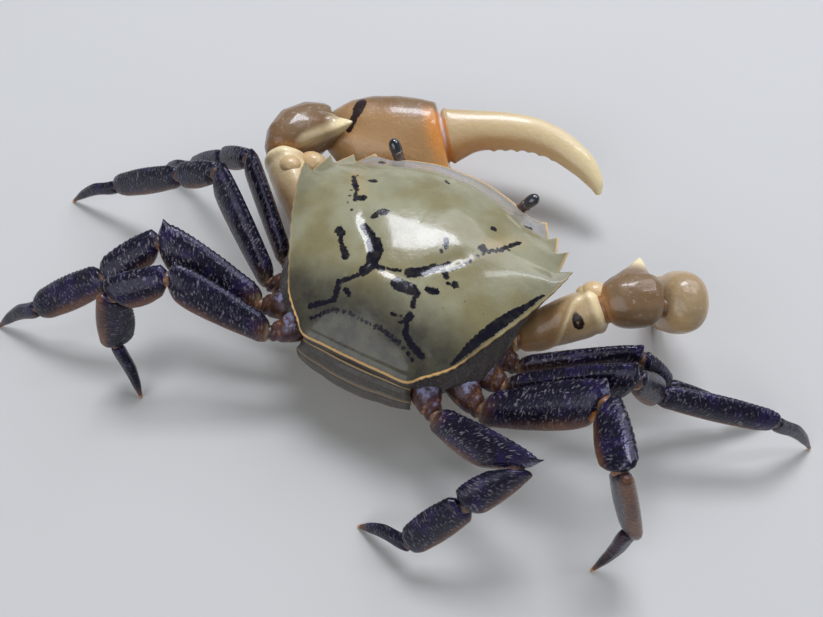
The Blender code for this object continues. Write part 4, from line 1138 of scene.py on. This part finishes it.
def make_feeler(side, sign):
    """A short feeler under the front edge."""
    rings = []
    for i in range(FEELER_RINGS):
        share = i / (FEELER_RINGS - 1)
        middle = FEELER_ROOT + FEELER_REACH * Vector((share, share, math.sin(share * 2.4)))
        middle.x *= sign
        radius = FEELER_RADIUS * (1.0 - 0.78 * share) * (0.92 + 0.08 * math.cos(share * 40.0))
        rings.append([middle + Vector((0, c, s)) * radius for _, c, s in turns(FEELER_SIDES)])
    make_piece("feeler_" + side, ring_skin(rings), stalk_paint, "claw")


def smoothed_copy(node, rounds, extra=None):
    """A finely remeshed and rounded copy of a solid, grown together with an extra closed form."""
    bm = bmesh.new()
    bm.from_mesh(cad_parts[node].data)
    bmesh.ops.remove_doubles(bm, verts=bm.verts, dist=WELD)
    if extra:
        to_metres(extra)
        added = mesh_from("added", extra)
        bm.from_mesh(added)
        bpy.data.meshes.remove(added)
    mesh = mesh_from("work", bm)
    work = put_in_scene("work", mesh)
    remesh = work.modifiers.new("fine", "REMESH")
    remesh.mode = "VOXEL"
    remesh.voxel_size = VOXEL * MM
    soften = work.modifiers.new("soft", "SMOOTH")
    soften.iterations = rounds
    soften.factor = 0.5
    graph = bpy.context.evaluated_depsgraph_get()
    graph.update()
    fine = bpy.data.meshes.new_from_object(work.evaluated_get(graph))
    bpy.data.objects.remove(work, do_unlink=True)
    bpy.data.meshes.remove(mesh)
    bm = bmesh.new()
    bm.from_mesh(fine)
    bpy.data.meshes.remove(fine)
    bmesh.ops.scale(bm, vec=(1.0 / MM,) * 3, verts=bm.verts)
    bmesh.ops.translate(bm, vec=-SHIFT, verts=bm.verts)
    return bm


def make_mouth_plate(side):
    """A mouth plate with an upright and a level seam."""
    seam_x, seam_z = MOUTH_SEAMS
    bm = smoothed_copy("mouth_plate_" + side, MOUTH_ROUNDS)
    for vert in bm.verts:
        x, y, z = vert.co
        if y < MOUTH_FACE:
            vert.co.y += MOUTH_GROOVE * (bell(abs(x) - seam_x, 0.25) + bell(z - seam_z, 0.22))
    set_layers(bm, lambda place: {"seam": min(abs(abs(place.x) - seam_x), abs(place.z - seam_z)),
                                  "seamed": 0.6, "shade": 0.12, "gold": 0.0})
    make_piece("mouth_plate_skin_" + side, bm, breast_paint, "belly", "mouth_plate_" + side)


# Limb lengths

def mitre(before, here):
    return (before + here).normalized()


def fitted_rings(ends, planes, tall, stations, size, sides, shape, soft=0.26):
    """Sections of a limb length between its two joint planes, with ends rounded by a share."""
    start, end = ends
    along = (end - start).normalized()
    tall = (tall - along * tall.dot(along)).normalized()
    thick = along.cross(tall).normalized()
    length = (end - start).length
    count = max(LEAST_RINGS, int(length / RING_SPACING))
    rounding = min(MOST_ROUNDING, length * ROUNDING_SHARE)
    rings, notes = [], []
    for n in range(count + 1):
        share = n / count
        tall_share, thick_share = at_share(stations, share)
        cap = rounded_end(min(share, 1.0 - share) * length, rounding, 1.0 - soft)
        ring, row = [], []
        for turn, c, s in turns(sides):
            a, b = shape(share, length, turn, c, s)
            a *= size[0] * tall_share / 2.0 * cap
            b *= size[1] * thick_share / 2.0 * cap
            point = start + tall * a + thick * b
            first = ((start - point).dot(planes[0]) + GAP / 2.0) / along.dot(planes[0])
            last = ((end - point).dot(planes[1]) - GAP / 2.0) / along.dot(planes[1])
            ring.append(point + along * (first + (last - first) * share))
            row.append((Vector((share * length, a, b)), share))
        rings.append(ring)
        notes.append(row)
    return rings, notes, tall


def base_lobe(share):
    return bell(share - 0.62, 0.17)


def leg_shape(kind):
    """Section of a leg length: flattened, with a keel above that carries beads."""
    def shape(share, length, turn, c, s):
        keel = max(0.0, c) ** 6
        a = power(c, 0.88) * (1.0 + 0.05 * keel)
        b = power(s, 0.92) * (1.0 - 0.3 * keel)
        if kind in ("merus", "propodus", "carpus"):
            bead = 0.5 + 0.5 * math.cos(2.0 * math.pi * share * length * MM / sizes().bead_pitch)
            a += keel * bead * sizes().bead_height / MM * 0.4
            b *= 1.0 - 0.06 * bell(abs(c) - 0.42, 0.16)
        if kind == "merus":
            a += 0.26 * keel * bell(share - 0.95, 0.022)
        if kind == "base":
            lobe, neck, root = base_lobe(share), bell(share - 0.86, 0.05), bell(share - 0.36, 0.3)
            a *= 1.0 + 0.22 * lobe * (0.5 + 0.5 * c) + 0.16 * root - 0.14 * neck
            b *= 1.0 + 0.14 * lobe + 0.3 * root - 0.14 * neck
        if kind == "dactyl":
            flute = 0.93 + 0.07 * (0.5 + 0.5 * math.cos(turn * 6.0))
            a *= flute
            b *= flute
        return a, b
    return shape


def leg_layers(kind, size, reach):
    """Numbers for the leg shell; reach is how far the amber root runs along the merus."""
    def rule(local, share, place):
        level = local.y / (size[0] / 2.0)
        face = abs(local.z) / (size[1] / 2.0)
        near, far = 1.0 - step(share, 0.0, 0.1), step(share, 0.93, 1.0)
        row = {"local": local * MM, "flecked": 1.0, "under": step(-level, 0.35, 0.8) * 0.8, "pearl": 0.0,
               "orange": 0.0, "cream": 0.0}
        # The pale blue-grey share below goes only on upper sides: partly the knobs' own colour, partly
        # painted highlight
        if kind == "base":
            lobe = base_lobe(share)
            row["flecked"] = 0.3
            row["pearl"] = 0.72 * max(lobe, bell(share - 0.25, 0.14)) * step(level, -0.3, 0.6)
            row["orange"] = 0.46 * max(bell(share - 0.84, 0.07), step(-level, -0.2, 0.6) * lobe)
            row["under"] = 0.35
        elif kind == "merus":
            root = 0.7 * (1.0 - step(share, 0.02, reach)) * step(-level, -0.8, 0.1)
            row["under"] = max(row["under"], root)
            row["cream"] = 0.35 * near * step(face, 0.2, 0.6) * (1.0 - step(share, 0.0, 0.05))
            row["orange"] = 0.75 * far * step(-level, -0.1, 0.4)
            row["pearl"] = 0.7 * far * step(level, 0.1, 0.5)
            row["flecked"] = 1.0 - 0.5 * step(level, 0.75, 0.95)
        elif kind == "carpus":
            row["pearl"] = 0.5 * near * step(level, -0.1, 0.4)
            row["flecked"] = 0.8
        elif kind == "propodus":
            row["orange"] = 0.4 * far * step(-level, -0.2, 0.4)
            row["flecked"] = 0.75
        else:
            row["flecked"] = 0.35
            row["under"] = max(0.3 * row["under"], 0.6 * step(share, 0.7, 0.9))
            row["orange"] = 0.9 * step(share, 0.86, 0.98)
            row["cream"] = 0.5 * step(share, 0.93, 1.0)
        return row
    return rule


def leg_joints(root, lengths, dactyl):
    """The ends of the five lengths, from the body to the tip on the floor."""
    joints = [Vector(root)]
    for length, yaw, climb in lengths:
        joints.append(joints[-1] + heading(yaw, climb) * length)
    length, yaw = dactyl
    climb = -math.degrees(math.asin(min(0.98, (joints[-1].z + TIP_SINK) / length)))
    joints.append(joints[-1] + heading(yaw, climb) * length)
    inward = Vector((-LEG_AIM[0] * joints[0].x, -LEG_AIM[1] * joints[0].y, 0.3)).normalized()
    return [joints[0] + inward * LEG_BASE_LENGTH] + joints


def leg_upright(along, roll):
    """The way from a leg length's middle to its keel."""
    upright = UP - along * along.z
    if upright.length < 0.5:
        upright = Vector((0, -1, 0)) + along * along.y
    upright.normalize()
    forward = along.cross(upright).normalized()
    if forward.y > 0.0:
        forward = -forward
    return upright * math.cos(roll) + forward * math.sin(roll)


def curve_dactyl(rings, notes, tall, length):
    """Arch the last length of a leg."""
    for ring, row in zip(rings, notes):
        share = row[0][1]
        lift = DACTYL_ARCH * length * math.sin(math.pi * share) * step(share, 0.0, 0.4)
        ring[:] = [point + tall * lift for point in ring]


def make_leg(name, pair, root, lengths, dactyl):
    joints = leg_joints(root, lengths, dactyl)
    measures, roll, amber_reach = LEG_SIZES[pair]
    ways = [(b - a).normalized() for a, b in zip(joints, joints[1:])]
    planes = [ways[0]] + [mitre(a, b) for a, b in zip(ways, ways[1:])] + [ways[-1]]
    plugs = []
    for i, kind in enumerate(LEG_LENGTHS):
        ends, size = joints[i:i + 2], measures[i]
        rings, notes, tall = fitted_rings(ends, planes[i:i + 2], leg_upright(ways[i], math.radians(roll)),
                                          LEG_STATIONS[kind], size, LEG_SIDES, leg_shape(kind))
        if kind == "dactyl":
            curve_dactyl(rings, notes, tall, (ends[1] - ends[0]).length)
        ring_piece(name + "_" + kind + "_skin", name + "_" + kind, rings, notes,
                   leg_layers(kind, size, amber_reach), leg_paint, "leg",
                   ("fill", "point" if kind == "dactyl" else "fill"))
        if i:
            tall_before, thick_before = measures[i - 1]
            tall_end = LEG_STATIONS[LEG_LENGTHS[i - 1]][-1][1]
            plugs.append((joints[i], LEG_PLUG_SHARE * min(thick_before, tall_before * tall_end, size[1])))
    make_plugs(name + "_joint_skins", plugs, "leg", 1.0)


def make_plugs(name, plugs, slot, dark):
    """Soft skin that fills each joint between two hard lengths, dark above and orange beneath."""
    bm = bmesh.new()
    for middle, radius in plugs:
        add_ball(bm, middle, (radius,) * 3)

    def rule(place):
        middle, radius = min(plugs, key=lambda plug: (place - plug[0]).length)
        return {"top": dark * step((place.z - middle.z) / radius, -0.6, 0.3), "pale": 0.0}

    set_layers(bm, rule)
    make_piece(name, bm, joint_paint, slot)


# Claws

def hand_axes(claw):
    """Directions along the hand, towards its moving finger, and through its thickness."""
    along = Vector(claw["along"]).normalized()
    if "tilt" in claw:
        tilt = math.radians(claw["tilt"])
        toward = Vector((-along.y, along.x, 0.0)).normalized() * math.cos(tilt) + UP * math.sin(tilt)
    else:
        toward = Vector(claw["front"])
    tall = (toward - along * toward.dot(along)).normalized()
    return along, tall, along.cross(tall).normalized()


def palm_rings(claw, axes):
    """Sections across a palm and its fixed finger, cut back to the slanting hinge face."""
    along, tall, thick = axes
    (top_u, top_v), (low_u, low_v) = claw["hinge"]
    first, last = claw["palm"][0][0], claw["pollex"][-1][0]
    count = int((last - first) / PALM_STEP)
    rings, notes = [], []
    for n in range(count + 1):
        u = first + (last - first) * n / count
        body = u < low_u + 0.1
        top = at_share(claw["palm" if body else "pollex"], u)[0]
        low, half = at_share(claw["lower"], u)[0], at_share(claw["thick"], u)[0]
        middle, half_tall = (top + low) / 2.0, (top - low) / 2.0
        ceiling = FAR
        if body and u > top_u - 0.6:
            ceiling = top_v + (u - top_u) * (low_v - top_v) / (low_u - top_u)
        cap = rounded_end(u - first, 1.6, 0.7)
        ring, row = [], []
        for _, c, s in turns(CLAW_SIDES):
            v, w = middle + power(c, 0.9) * half_tall * cap, power(s, 0.9) * half * cap
            over = v - ceiling + CEILING_FADE
            if over > 0.0:
                v = ceiling - CEILING_FADE * math.exp(-over / CEILING_FADE)
                w *= 1.0 - 0.06 * step(over, 0.0, 0.8)
            ring.append(Vector(claw["start"]) + along * u + tall * v + thick * w)
            row.append((Vector((u, v, w)), u))
        rings.append(ring)
        notes.append(row)
    return rings, notes


def palm_teeth(rings, notes, tall, teeth, cut_from):
    """Raise the teeth of the fixed finger on its cutting edge."""
    for ring, row in zip(rings, notes):
        u = row[0][1]
        if u < cut_from:
            continue
        levels = [local.y for local, _ in row]
        low, span = min(levels), max(max(levels) - min(levels), 0.01)
        for k, level in enumerate(levels):
            edge = max(0.0, (level - low) / span * 2.0 - 1.0) ** 10
            for place, height in teeth:
                ring[k] = ring[k] + tall * edge * height * bell(u - place, TOOTH_WIDTH)


def finger_rings(claw, axes):
    """Sections along a curved finger with teeth (place, height) on its cutting edge."""
    along, tall, thick = axes
    (top_u, top_v), (low_u, low_v) = claw["hinge"]
    hinge_side = (along * (top_u - low_u) + tall * (top_v - low_v)).normalized()
    start = Vector(claw["start"]) + along * GAP
    stations, steps = claw["finger"], claw["finger_steps"]
    last = len(stations) - 1
    rings, notes = [], []
    for n in range(steps + 1):
        position = n * last / steps
        u, v, half_tall, half_thick = smooth_row(stations, position)
        before = smooth_row(stations, max(0.0, position - 0.2))
        after = smooth_row(stations, min(float(last), position + 0.2))
        lean = Vector((after[0] - before[0], after[1] - before[1])).normalized()
        side = (along * -lean.y + tall * lean.x).normalized()
        side = hinge_side.lerp(side, step(position, 0.0, 1.0)).normalized()
        share = position / last
        cap = rounded_end(position, 0.35, 0.8)
        ring, row = [], []
        for turn, c, s in turns(CLAW_SIDES):
            a = power(c, 0.95) * half_tall * cap
            b = power(s, 0.95) * half_thick * cap
            ridge = bell(turn - FINGER_RIDGE, 0.22) + bell(turn + FINGER_RIDGE - 2.0 * math.pi, 0.22)
            a += 0.10 * ridge * half_tall * (1.0 - share)
            for place, height in claw["finger_teeth"]:
                a -= max(0.0, -c) ** 10 * height * bell(u - place, TOOTH_WIDTH)
            ring.append(start + along * u + tall * v + side * a + thick * b)
            row.append((Vector((u, a / max(half_tall, 0.01), b)), share))
        rings.append(ring)
        notes.append(row)
    return rings, notes


def claw_piece(side, part, rings, notes, tint, end="point"):
    name = "claw_" + side + "_" + part
    ring_piece(name + "_skin", name, rings, notes, tint, claw_paint, "claw", ("fill", end))


def make_hand(side, claw, palm_tint, finger_tint):
    axes = hand_axes(claw)
    rings, notes = palm_rings(claw, axes)
    palm_teeth(rings, notes, axes[1], claw["palm_teeth"], claw["hinge"][1][0] + 1.5)
    claw_piece(side, "palm", rings, notes, palm_tint)
    claw_piece(side, "finger", *finger_rings(claw, axes), finger_tint)


def make_hinge_skin(side, claw, thickness):
    """Orange skin between the hinge face of the palm and the root of the finger."""
    along, tall, thick = hand_axes(claw)
    (top_u, top_v), (low_u, low_v) = claw["hinge"]
    across = Vector((top_u - low_u, top_v - low_v))
    half, across = across.length / 2.0, across.normalized()
    middle = Vector(claw["start"]) + along * (top_u + low_u) / 2.0 + tall * (top_v + low_v) / 2.0
    side_way = along * across.x + tall * across.y
    onward = along * across.y - tall * across.x
    rings = []
    for n in range(HINGE_SKIN_RINGS):
        reach = HINGE_SKIN_START + HINGE_SKIN_DEPTH * n / (HINGE_SKIN_RINGS - 1)
        squeeze = 0.9 - 0.1 * bell(reach - HINGE_WAIST, 0.4)
        rings.append([middle + onward * reach + (side_way * c * half + thick * s * thickness) * squeeze
                      for _, c, s in turns(CLAW_SIDES)])
    bm = ring_skin(rings)

    def rule(place):
        reach = (place - middle).dot(onward)
        up = (place - middle).dot(side_way) / half
        return {"top": 0.0, "pale": 0.8 * bell(reach - HINGE_WAIST, 0.22) * step(up, -0.8, 0.2)}

    set_layers(bm, rule)
    make_piece("claw_" + side + "_hinge_skin", bm, joint_paint, "claw")


def make_lobes(side, claw):
    """Rounded pads of cream shell at the end of an arm's merus."""
    bm = bmesh.new()
    for middle, radii in claw["lobes"]:
        add_ball(bm, middle, radii, 4)
    set_layers(bm, lambda place: claw_tint(umber=0.1, cream=0.42, orange=0.22))
    make_piece("claw_" + side + "_merus_lobes", bm, claw_paint, "claw")


def claw_tint(**fixed):
    """The numbers every claw piece carries, with some set."""
    return {"umber": 0.4, "orange": 0.0, "cream": 0.0, "ink": NO_INK, "inked": 0.0, "mottled": 0.3, **fixed}


def great_palm_tint(local, u, place):
    v = local.y
    orange = 0.95 * (1.0 - step(to_stroke(u, v, HINGE_GLOW), 0.6, 2.6)) * step(7.4 - v, 0.0, 1.6)
    lower = 1.0 - step(v, -2.0, 2.5)
    ink = min(to_stroke(u, v, points) - radius for radius, points in GREAT_PALM_MARK)
    return claw_tint(umber=0.1 + 0.85 * step(v, 3.6, 6.6) + 0.2 * step(-u, -4.0, -1.0),
                     orange=max(orange, 0.35 * step(u, 18.0, 24.0), 0.4 * lower),
                     cream=max(0.45 * step(u, 27.0, 37.0), 0.16 * lower),
                     mottled=step(v, 3.2, 5.2), ink=ink, inked=float(local.z > 0.0))


def great_finger_tint(local, share, place):
    low = step(-local.y, -0.1, 0.75)
    return claw_tint(umber=0.22 * (1.0 - share), cream=clamp(0.34 + 0.66 * share - 0.2 * low),
                     orange=0.75 * low * (1.0 - 0.8 * share) + 0.3 * (share > 0.97))


def small_palm_tint(local, u, place):
    low = step(place.y, -7.5, -4.6)
    right = (place - Vector(SMALL_CLAW["start"])).dot(CAMERA_RIGHT)
    orange = max(0.5 * step(local.x, 3.0, 8.0) * (1.0 - step(local.x, 11.0, 14.0)), 0.55 * low,
                 0.6 * step(right, 1.9, 3.3))
    return claw_tint(umber=0.85 * step(3.6 - local.x, 0.0, 4.5) * (1.0 - low), orange=orange,
                     cream=0.2 + 0.22 * low, mottled=0.8 * (1.0 - low))


def small_finger_tint(local, share, place):
    return claw_tint(umber=0.2, orange=0.3 * (1.0 - share), cream=0.2 + 0.5 * share)


def from_crease(share, turn):
    """Angle from the slanting crease of the small merus, which climbs from its rear face to its top."""
    away = turn - 1.95 + 2.15 * step(share, 0.22, 0.84)
    return min(abs(away), abs(away - 2.0 * math.pi), abs(away + 2.0 * math.pi))


def arm_shape(creased):
    """A three-edged arm length with a keel above and two low ridges below."""
    def shape(share, length, turn, c, s):
        ridges = max(bell(turn - middle, 0.3) * tall for middle, tall in ARM_RIDGES)
        if creased:
            ridges = (0.6 * ridges + 0.9 * bell(from_crease(share, turn), 0.22)
                      - 0.35 * bell(from_crease(share, turn + 0.55), 0.3))
        swell = 0.93 + 0.1 * ridges + 0.07 * bell(share - 0.94, 0.05) - 0.03 * bell(share - 0.84, 0.05)
        return power(c, 0.95) * swell, power(s, 0.95) * swell
    return shape


def make_arm_length(side, part, ends, planes, size, creased, tint):
    rings, notes, _ = fitted_rings(ends, planes, UP, ARM_STATIONS[part], size, CLAW_SIDES,
                                   arm_shape(creased), 0.14)
    claw_piece(side, part, rings, notes, tint, "fill")


def ischium_tint(local, share, place):
    return claw_tint(umber=0.2, orange=0.3, cream=0.3)


def merus_tint(claw):
    """Cream towards the wrist and, partly as painted light, on the upper face; on the small claw a pale
    crease and an inked ring.
    """
    tall, thick = claw["merus"]
    spot = claw.get("spot")

    def tint(local, share, place):
        rim = step(share, 0.86, 0.97)
        level = local.y / (tall / 2.0)
        # Cream on the upper face of the outer part: partly the arm's own cream, partly painted light where
        # the top faces the lamps
        upper_cream_and_light = step(share, 0.4, 0.75) * step(level, -0.35, 0.25)
        keel, pale, ink, inked = step(level, 0.55, 0.9), 0.42, NO_INK, 0.0
        if spot:
            keel = 1.3 * bell(from_crease(share, math.atan2(local.z / thick, local.y / tall)), 0.16)
            pale = 0.3
            ink = abs(math.hypot(local.x - spot[0], (local.y - spot[1]) * 0.8) - 0.5) - 0.3
            inked = float(local.z > 0.0)
        return claw_tint(umber=0.5 * (1.0 - rim) * (1.0 - 0.6 * upper_cream_and_light),
                         cream=clamp(0.5 * rim + 0.3 * keel + pale * upper_cream_and_light),
                         orange=0.25 * (1.0 - step(share, 0.0, 0.12)), ink=ink, inked=inked)
    return tint


def carpus_tint(place, elbow, ridge, spine):
    """Brown above, with a pale spine, and a pale stripe of painted highlight along the ridge that runs up to
    it.
    """
    near = (place - elbow).length
    share = clamp((place - ridge).dot(spine - ridge) / (spine - ridge).length_squared)
    off = (place - ridge.lerp(spine, share)).length
    pale = 0.7 * (1.0 - step((place - spine).length, 1.5, 5.0))
    # Painted highlight: a pale stripe along the ridge up to the spine
    pale += 0.35 * step(share, 0.01, 0.2) * (1.0 - step(off, 0.8, 1.7))
    return claw_tint(umber=0.35 + 0.65 * step(place.z, 9.0, 13.0) * step(near, 1.0, 3.5),
                     orange=0.4 * (1.0 - step(near, 2.0, 4.0)), mottled=0.7,
                     cream=clamp(pale + 0.2 * (1.0 - step(place.z, 7.0, 10.0))))


def make_carpus(side, claw):
    """The wrist length: its solid, rounded and grown together with its spine."""
    elbow, bulge, wrist, spine = (Vector(claw[name]) for name in ("elbow", "bulge", "wrist", "spine"))
    heart = elbow.lerp(bulge, 0.55).lerp(wrist, 0.3)
    cone = ring_skin(round_rings(heart, spine, SPINE_STATIONS, SPINE_SIDES))
    ridge = Vector(claw.get("ridge", heart))
    if "ridge" in claw:
        for n in range(RIDGE_BALLS):
            share = n / RIDGE_BALLS
            add_ball(cone, ridge.lerp(spine, share), (RIDGE_RADIUS - RIDGE_TAPER * share,) * 3)
        add_ball(cone, claw["knob"], (KNOB_RADIUS,) * 3)
    bm = smoothed_copy("claw_" + side + "_carpus", CARPUS_ROUNDS, cone)
    if "far_side" in claw:
        for vert in bm.verts:
            past = max(0.0, (vert.co - elbow).dot(CAMERA_RIGHT) - claw["far_side"])
            vert.co -= CAMERA_RIGHT * past * FAR_SIDE_SQUEEZE
    set_layers(bm, lambda place: carpus_tint(place, elbow, ridge, spine))
    make_piece("claw_" + side + "_carpus_skin", bm, claw_paint, "claw", "claw_" + side + "_carpus")


def make_arm(side, claw):
    root, elbow, bulge, wrist, start = (Vector(claw[name])
                                        for name in ("root", "elbow", "bulge", "wrist", "start"))
    shoulder = root + Vector((math.copysign(1.0, -root.x), 0.35, 0.0)).normalized() * SHOULDER_DEPTH
    hip_way, merus_way = (root - shoulder).normalized(), (elbow - root).normalized()
    hip_plane = mitre(hip_way, merus_way)
    elbow_plane = mitre(merus_way, (bulge - elbow).normalized())
    make_arm_length(side, "ischium", (shoulder, root), (hip_way, hip_plane), claw["ischium"], False,
                    ischium_tint)
    make_arm_length(side, "merus", (root, elbow), (hip_plane, elbow_plane), claw["merus"], "spot" in claw,
                    merus_tint(claw))
    make_carpus(side, claw)
    hip_thick, merus_thick = claw["ischium"][1], claw["merus"][1]
    wrist_plug = wrist.lerp(start, 0.4) - UP * claw["wrist_drop"]
    widths = (hip_thick, merus_thick, hip_thick)
    plugs = [(middle, width * share)
             for middle, width, share in zip((root, elbow, wrist_plug), widths, ARM_PLUG_SHARES)]
    make_plugs("claw_" + side + "_joint_skins", plugs, "claw", 0.75)


# Operators, one for each piece or group of like pieces and one for the stage

class CRAB_OT_back_shell(bpy.types.Operator):
    """Model the back shell with its teeth, crests, grooves and marks"""
    bl_idname = "crab.back_shell"
    bl_label = "Back shell"

    def execute(self, context):
        make_back_shell()
        return {"FINISHED"}


class CRAB_OT_underside(bpy.types.Operator):
    """Model the breast plates and the folded tail"""
    bl_idname = "crab.underside"
    bl_label = "Breast and tail"

    def execute(self, context):
        make_breast()
        make_tail()
        return {"FINISHED"}


class CRAB_OT_head(bpy.types.Operator):
    """Model the eyes on their stalks, the feelers and the mouth plates"""
    bl_idname = "crab.head"
    bl_label = "Head"

    def execute(self, context):
        for side, sign in SIDES:
            make_eye(side, sign)
            make_mouth_plate(side)
        for side, sign in SIDES:
            make_feeler(side, sign)
        return {"FINISHED"}


class CRAB_OT_legs(bpy.types.Operator):
    """Model the eight walking legs with their joint skins"""
    bl_idname = "crab.legs"
    bl_label = "Walking legs"

    def execute(self, context):
        for name, leg in LEGS.items():
            make_leg(name, name.split("_")[0], *leg)
        return {"FINISHED"}


class CRAB_OT_great_claw(bpy.types.Operator):
    """Model the great claw of the left side"""
    bl_idname = "crab.great_claw"
    bl_label = "Great claw"

    def execute(self, context):
        make_arm("left", GREAT_CLAW)
        make_hand("left", GREAT_CLAW, great_palm_tint, great_finger_tint)
        make_hinge_skin("left", GREAT_CLAW, HINGE_SKIN_THICKNESS)
        make_lobes("left", GREAT_CLAW)
        return {"FINISHED"}


class CRAB_OT_small_claw(bpy.types.Operator):
    """Model the small claw of the right side"""
    bl_idname = "crab.small_claw"
    bl_label = "Small claw"

    def execute(self, context):
        make_arm("right", SMALL_CLAW)
        make_hand("right", SMALL_CLAW, small_palm_tint, small_finger_tint)
        make_lobes("right", SMALL_CLAW)
        return {"FINISHED"}


def add_light(name, power_w, place, spread, tint):
    data = bpy.data.lights.new(name, "AREA")
    data.shape = "RECTANGLE"
    data.size, data.size_y = spread
    data.energy = power_w
    data.color = tint
    light = put_in_scene(name, data)
    light.location = place
    light.rotation_euler = (-Vector(place)).to_track_quat("-Z", "Y").to_euler()


class CRAB_OT_stage(bpy.types.Operator):
    """Set the plain floor, the soft lights and the camera"""
    bl_idname = "crab.stage"
    bl_label = "Stage"

    def execute(self, context):
        size = sizes()
        bm = bmesh.new()
        bmesh.ops.create_grid(bm, x_segments=1, y_segments=1, size=size.floor_size / 2.0)
        mesh = mesh_from("floor", bm)
        mesh.materials.append(paint_once(floor_paint))
        floor = put_in_scene("floor", mesh)
        world = bpy.data.worlds.new("soft_room")
        world.use_nodes = True
        room = world.node_tree.nodes["Background"].inputs
        room["Color"].default_value = ROOM_TINT
        room["Strength"].default_value = ROOM_STRENGTH
        context.scene.world = world
        context.scene.view_settings.view_transform = "Standard"
        for name, (place, spread, tint) in LIGHTS.items():
            add_light(name + "_softbox", getattr(size, name + "_power"), place, spread, tint)
        data = bpy.data.cameras.new("view")
        data.sensor_width = SENSOR_MM
        data.sensor_fit = "HORIZONTAL"
        data.lens = FOCAL_PIXELS / PICTURE_WIDTH * SENSOR_MM
        data.clip_start, data.clip_end = CLIP_DISTANCES
        camera = put_in_scene("view", data)
        right, sight = CAMERA_RIGHT.normalized(), CAMERA_SIGHT.normalized()
        above = right.cross(sight).normalized()
        turn = Matrix((right, above, -sight)).transposed().to_4x4()
        camera.matrix_world = Matrix.Translation((CAMERA_PLACE + SHIFT) * MM) @ turn
        context.scene.camera = camera
        return {"FINISHED"}


class CRAB_PT_panel(bpy.types.Panel):
    """Crab tools in the sidebar"""
    bl_idname = "CRAB_PT_panel"
    bl_label = "Crab"
    bl_space_type = "VIEW_3D"
    bl_region_type = "UI"
    bl_category = "Crab"

    def draw(self, context):
        layout = self.layout
        for operator in OPERATORS:
            layout.operator(operator.bl_idname)
        for group in (sizes(), colours()):
            for name in group.__annotations__:
                layout.prop(group, name)


OPERATORS = (CRAB_OT_back_shell, CRAB_OT_underside, CRAB_OT_head, CRAB_OT_legs, CRAB_OT_great_claw,
             CRAB_OT_small_claw, CRAB_OT_stage)
CLASSES = (CrabSizes, CrabColours) + OPERATORS + (CRAB_PT_panel,)


def register():
    for item in CLASSES:
        bpy.utils.register_class(item)
    bpy.types.Scene.crab_sizes = bpy.props.PointerProperty(type=CrabSizes)
    bpy.types.Scene.crab_colours = bpy.props.PointerProperty(type=CrabColours)


def unregister():
    del bpy.types.Scene.crab_sizes
    del bpy.types.Scene.crab_colours
    for item in reversed(CLASSES):
        bpy.utils.unregister_class(item)


def main():
    register()
    bpy.ops.crab.back_shell()
    bpy.ops.crab.underside()
    bpy.ops.crab.head()
    bpy.ops.crab.legs()
    bpy.ops.crab.great_claw()
    bpy.ops.crab.small_claw()
    bpy.ops.crab.stage()


if __name__ == "__main__":
    main()
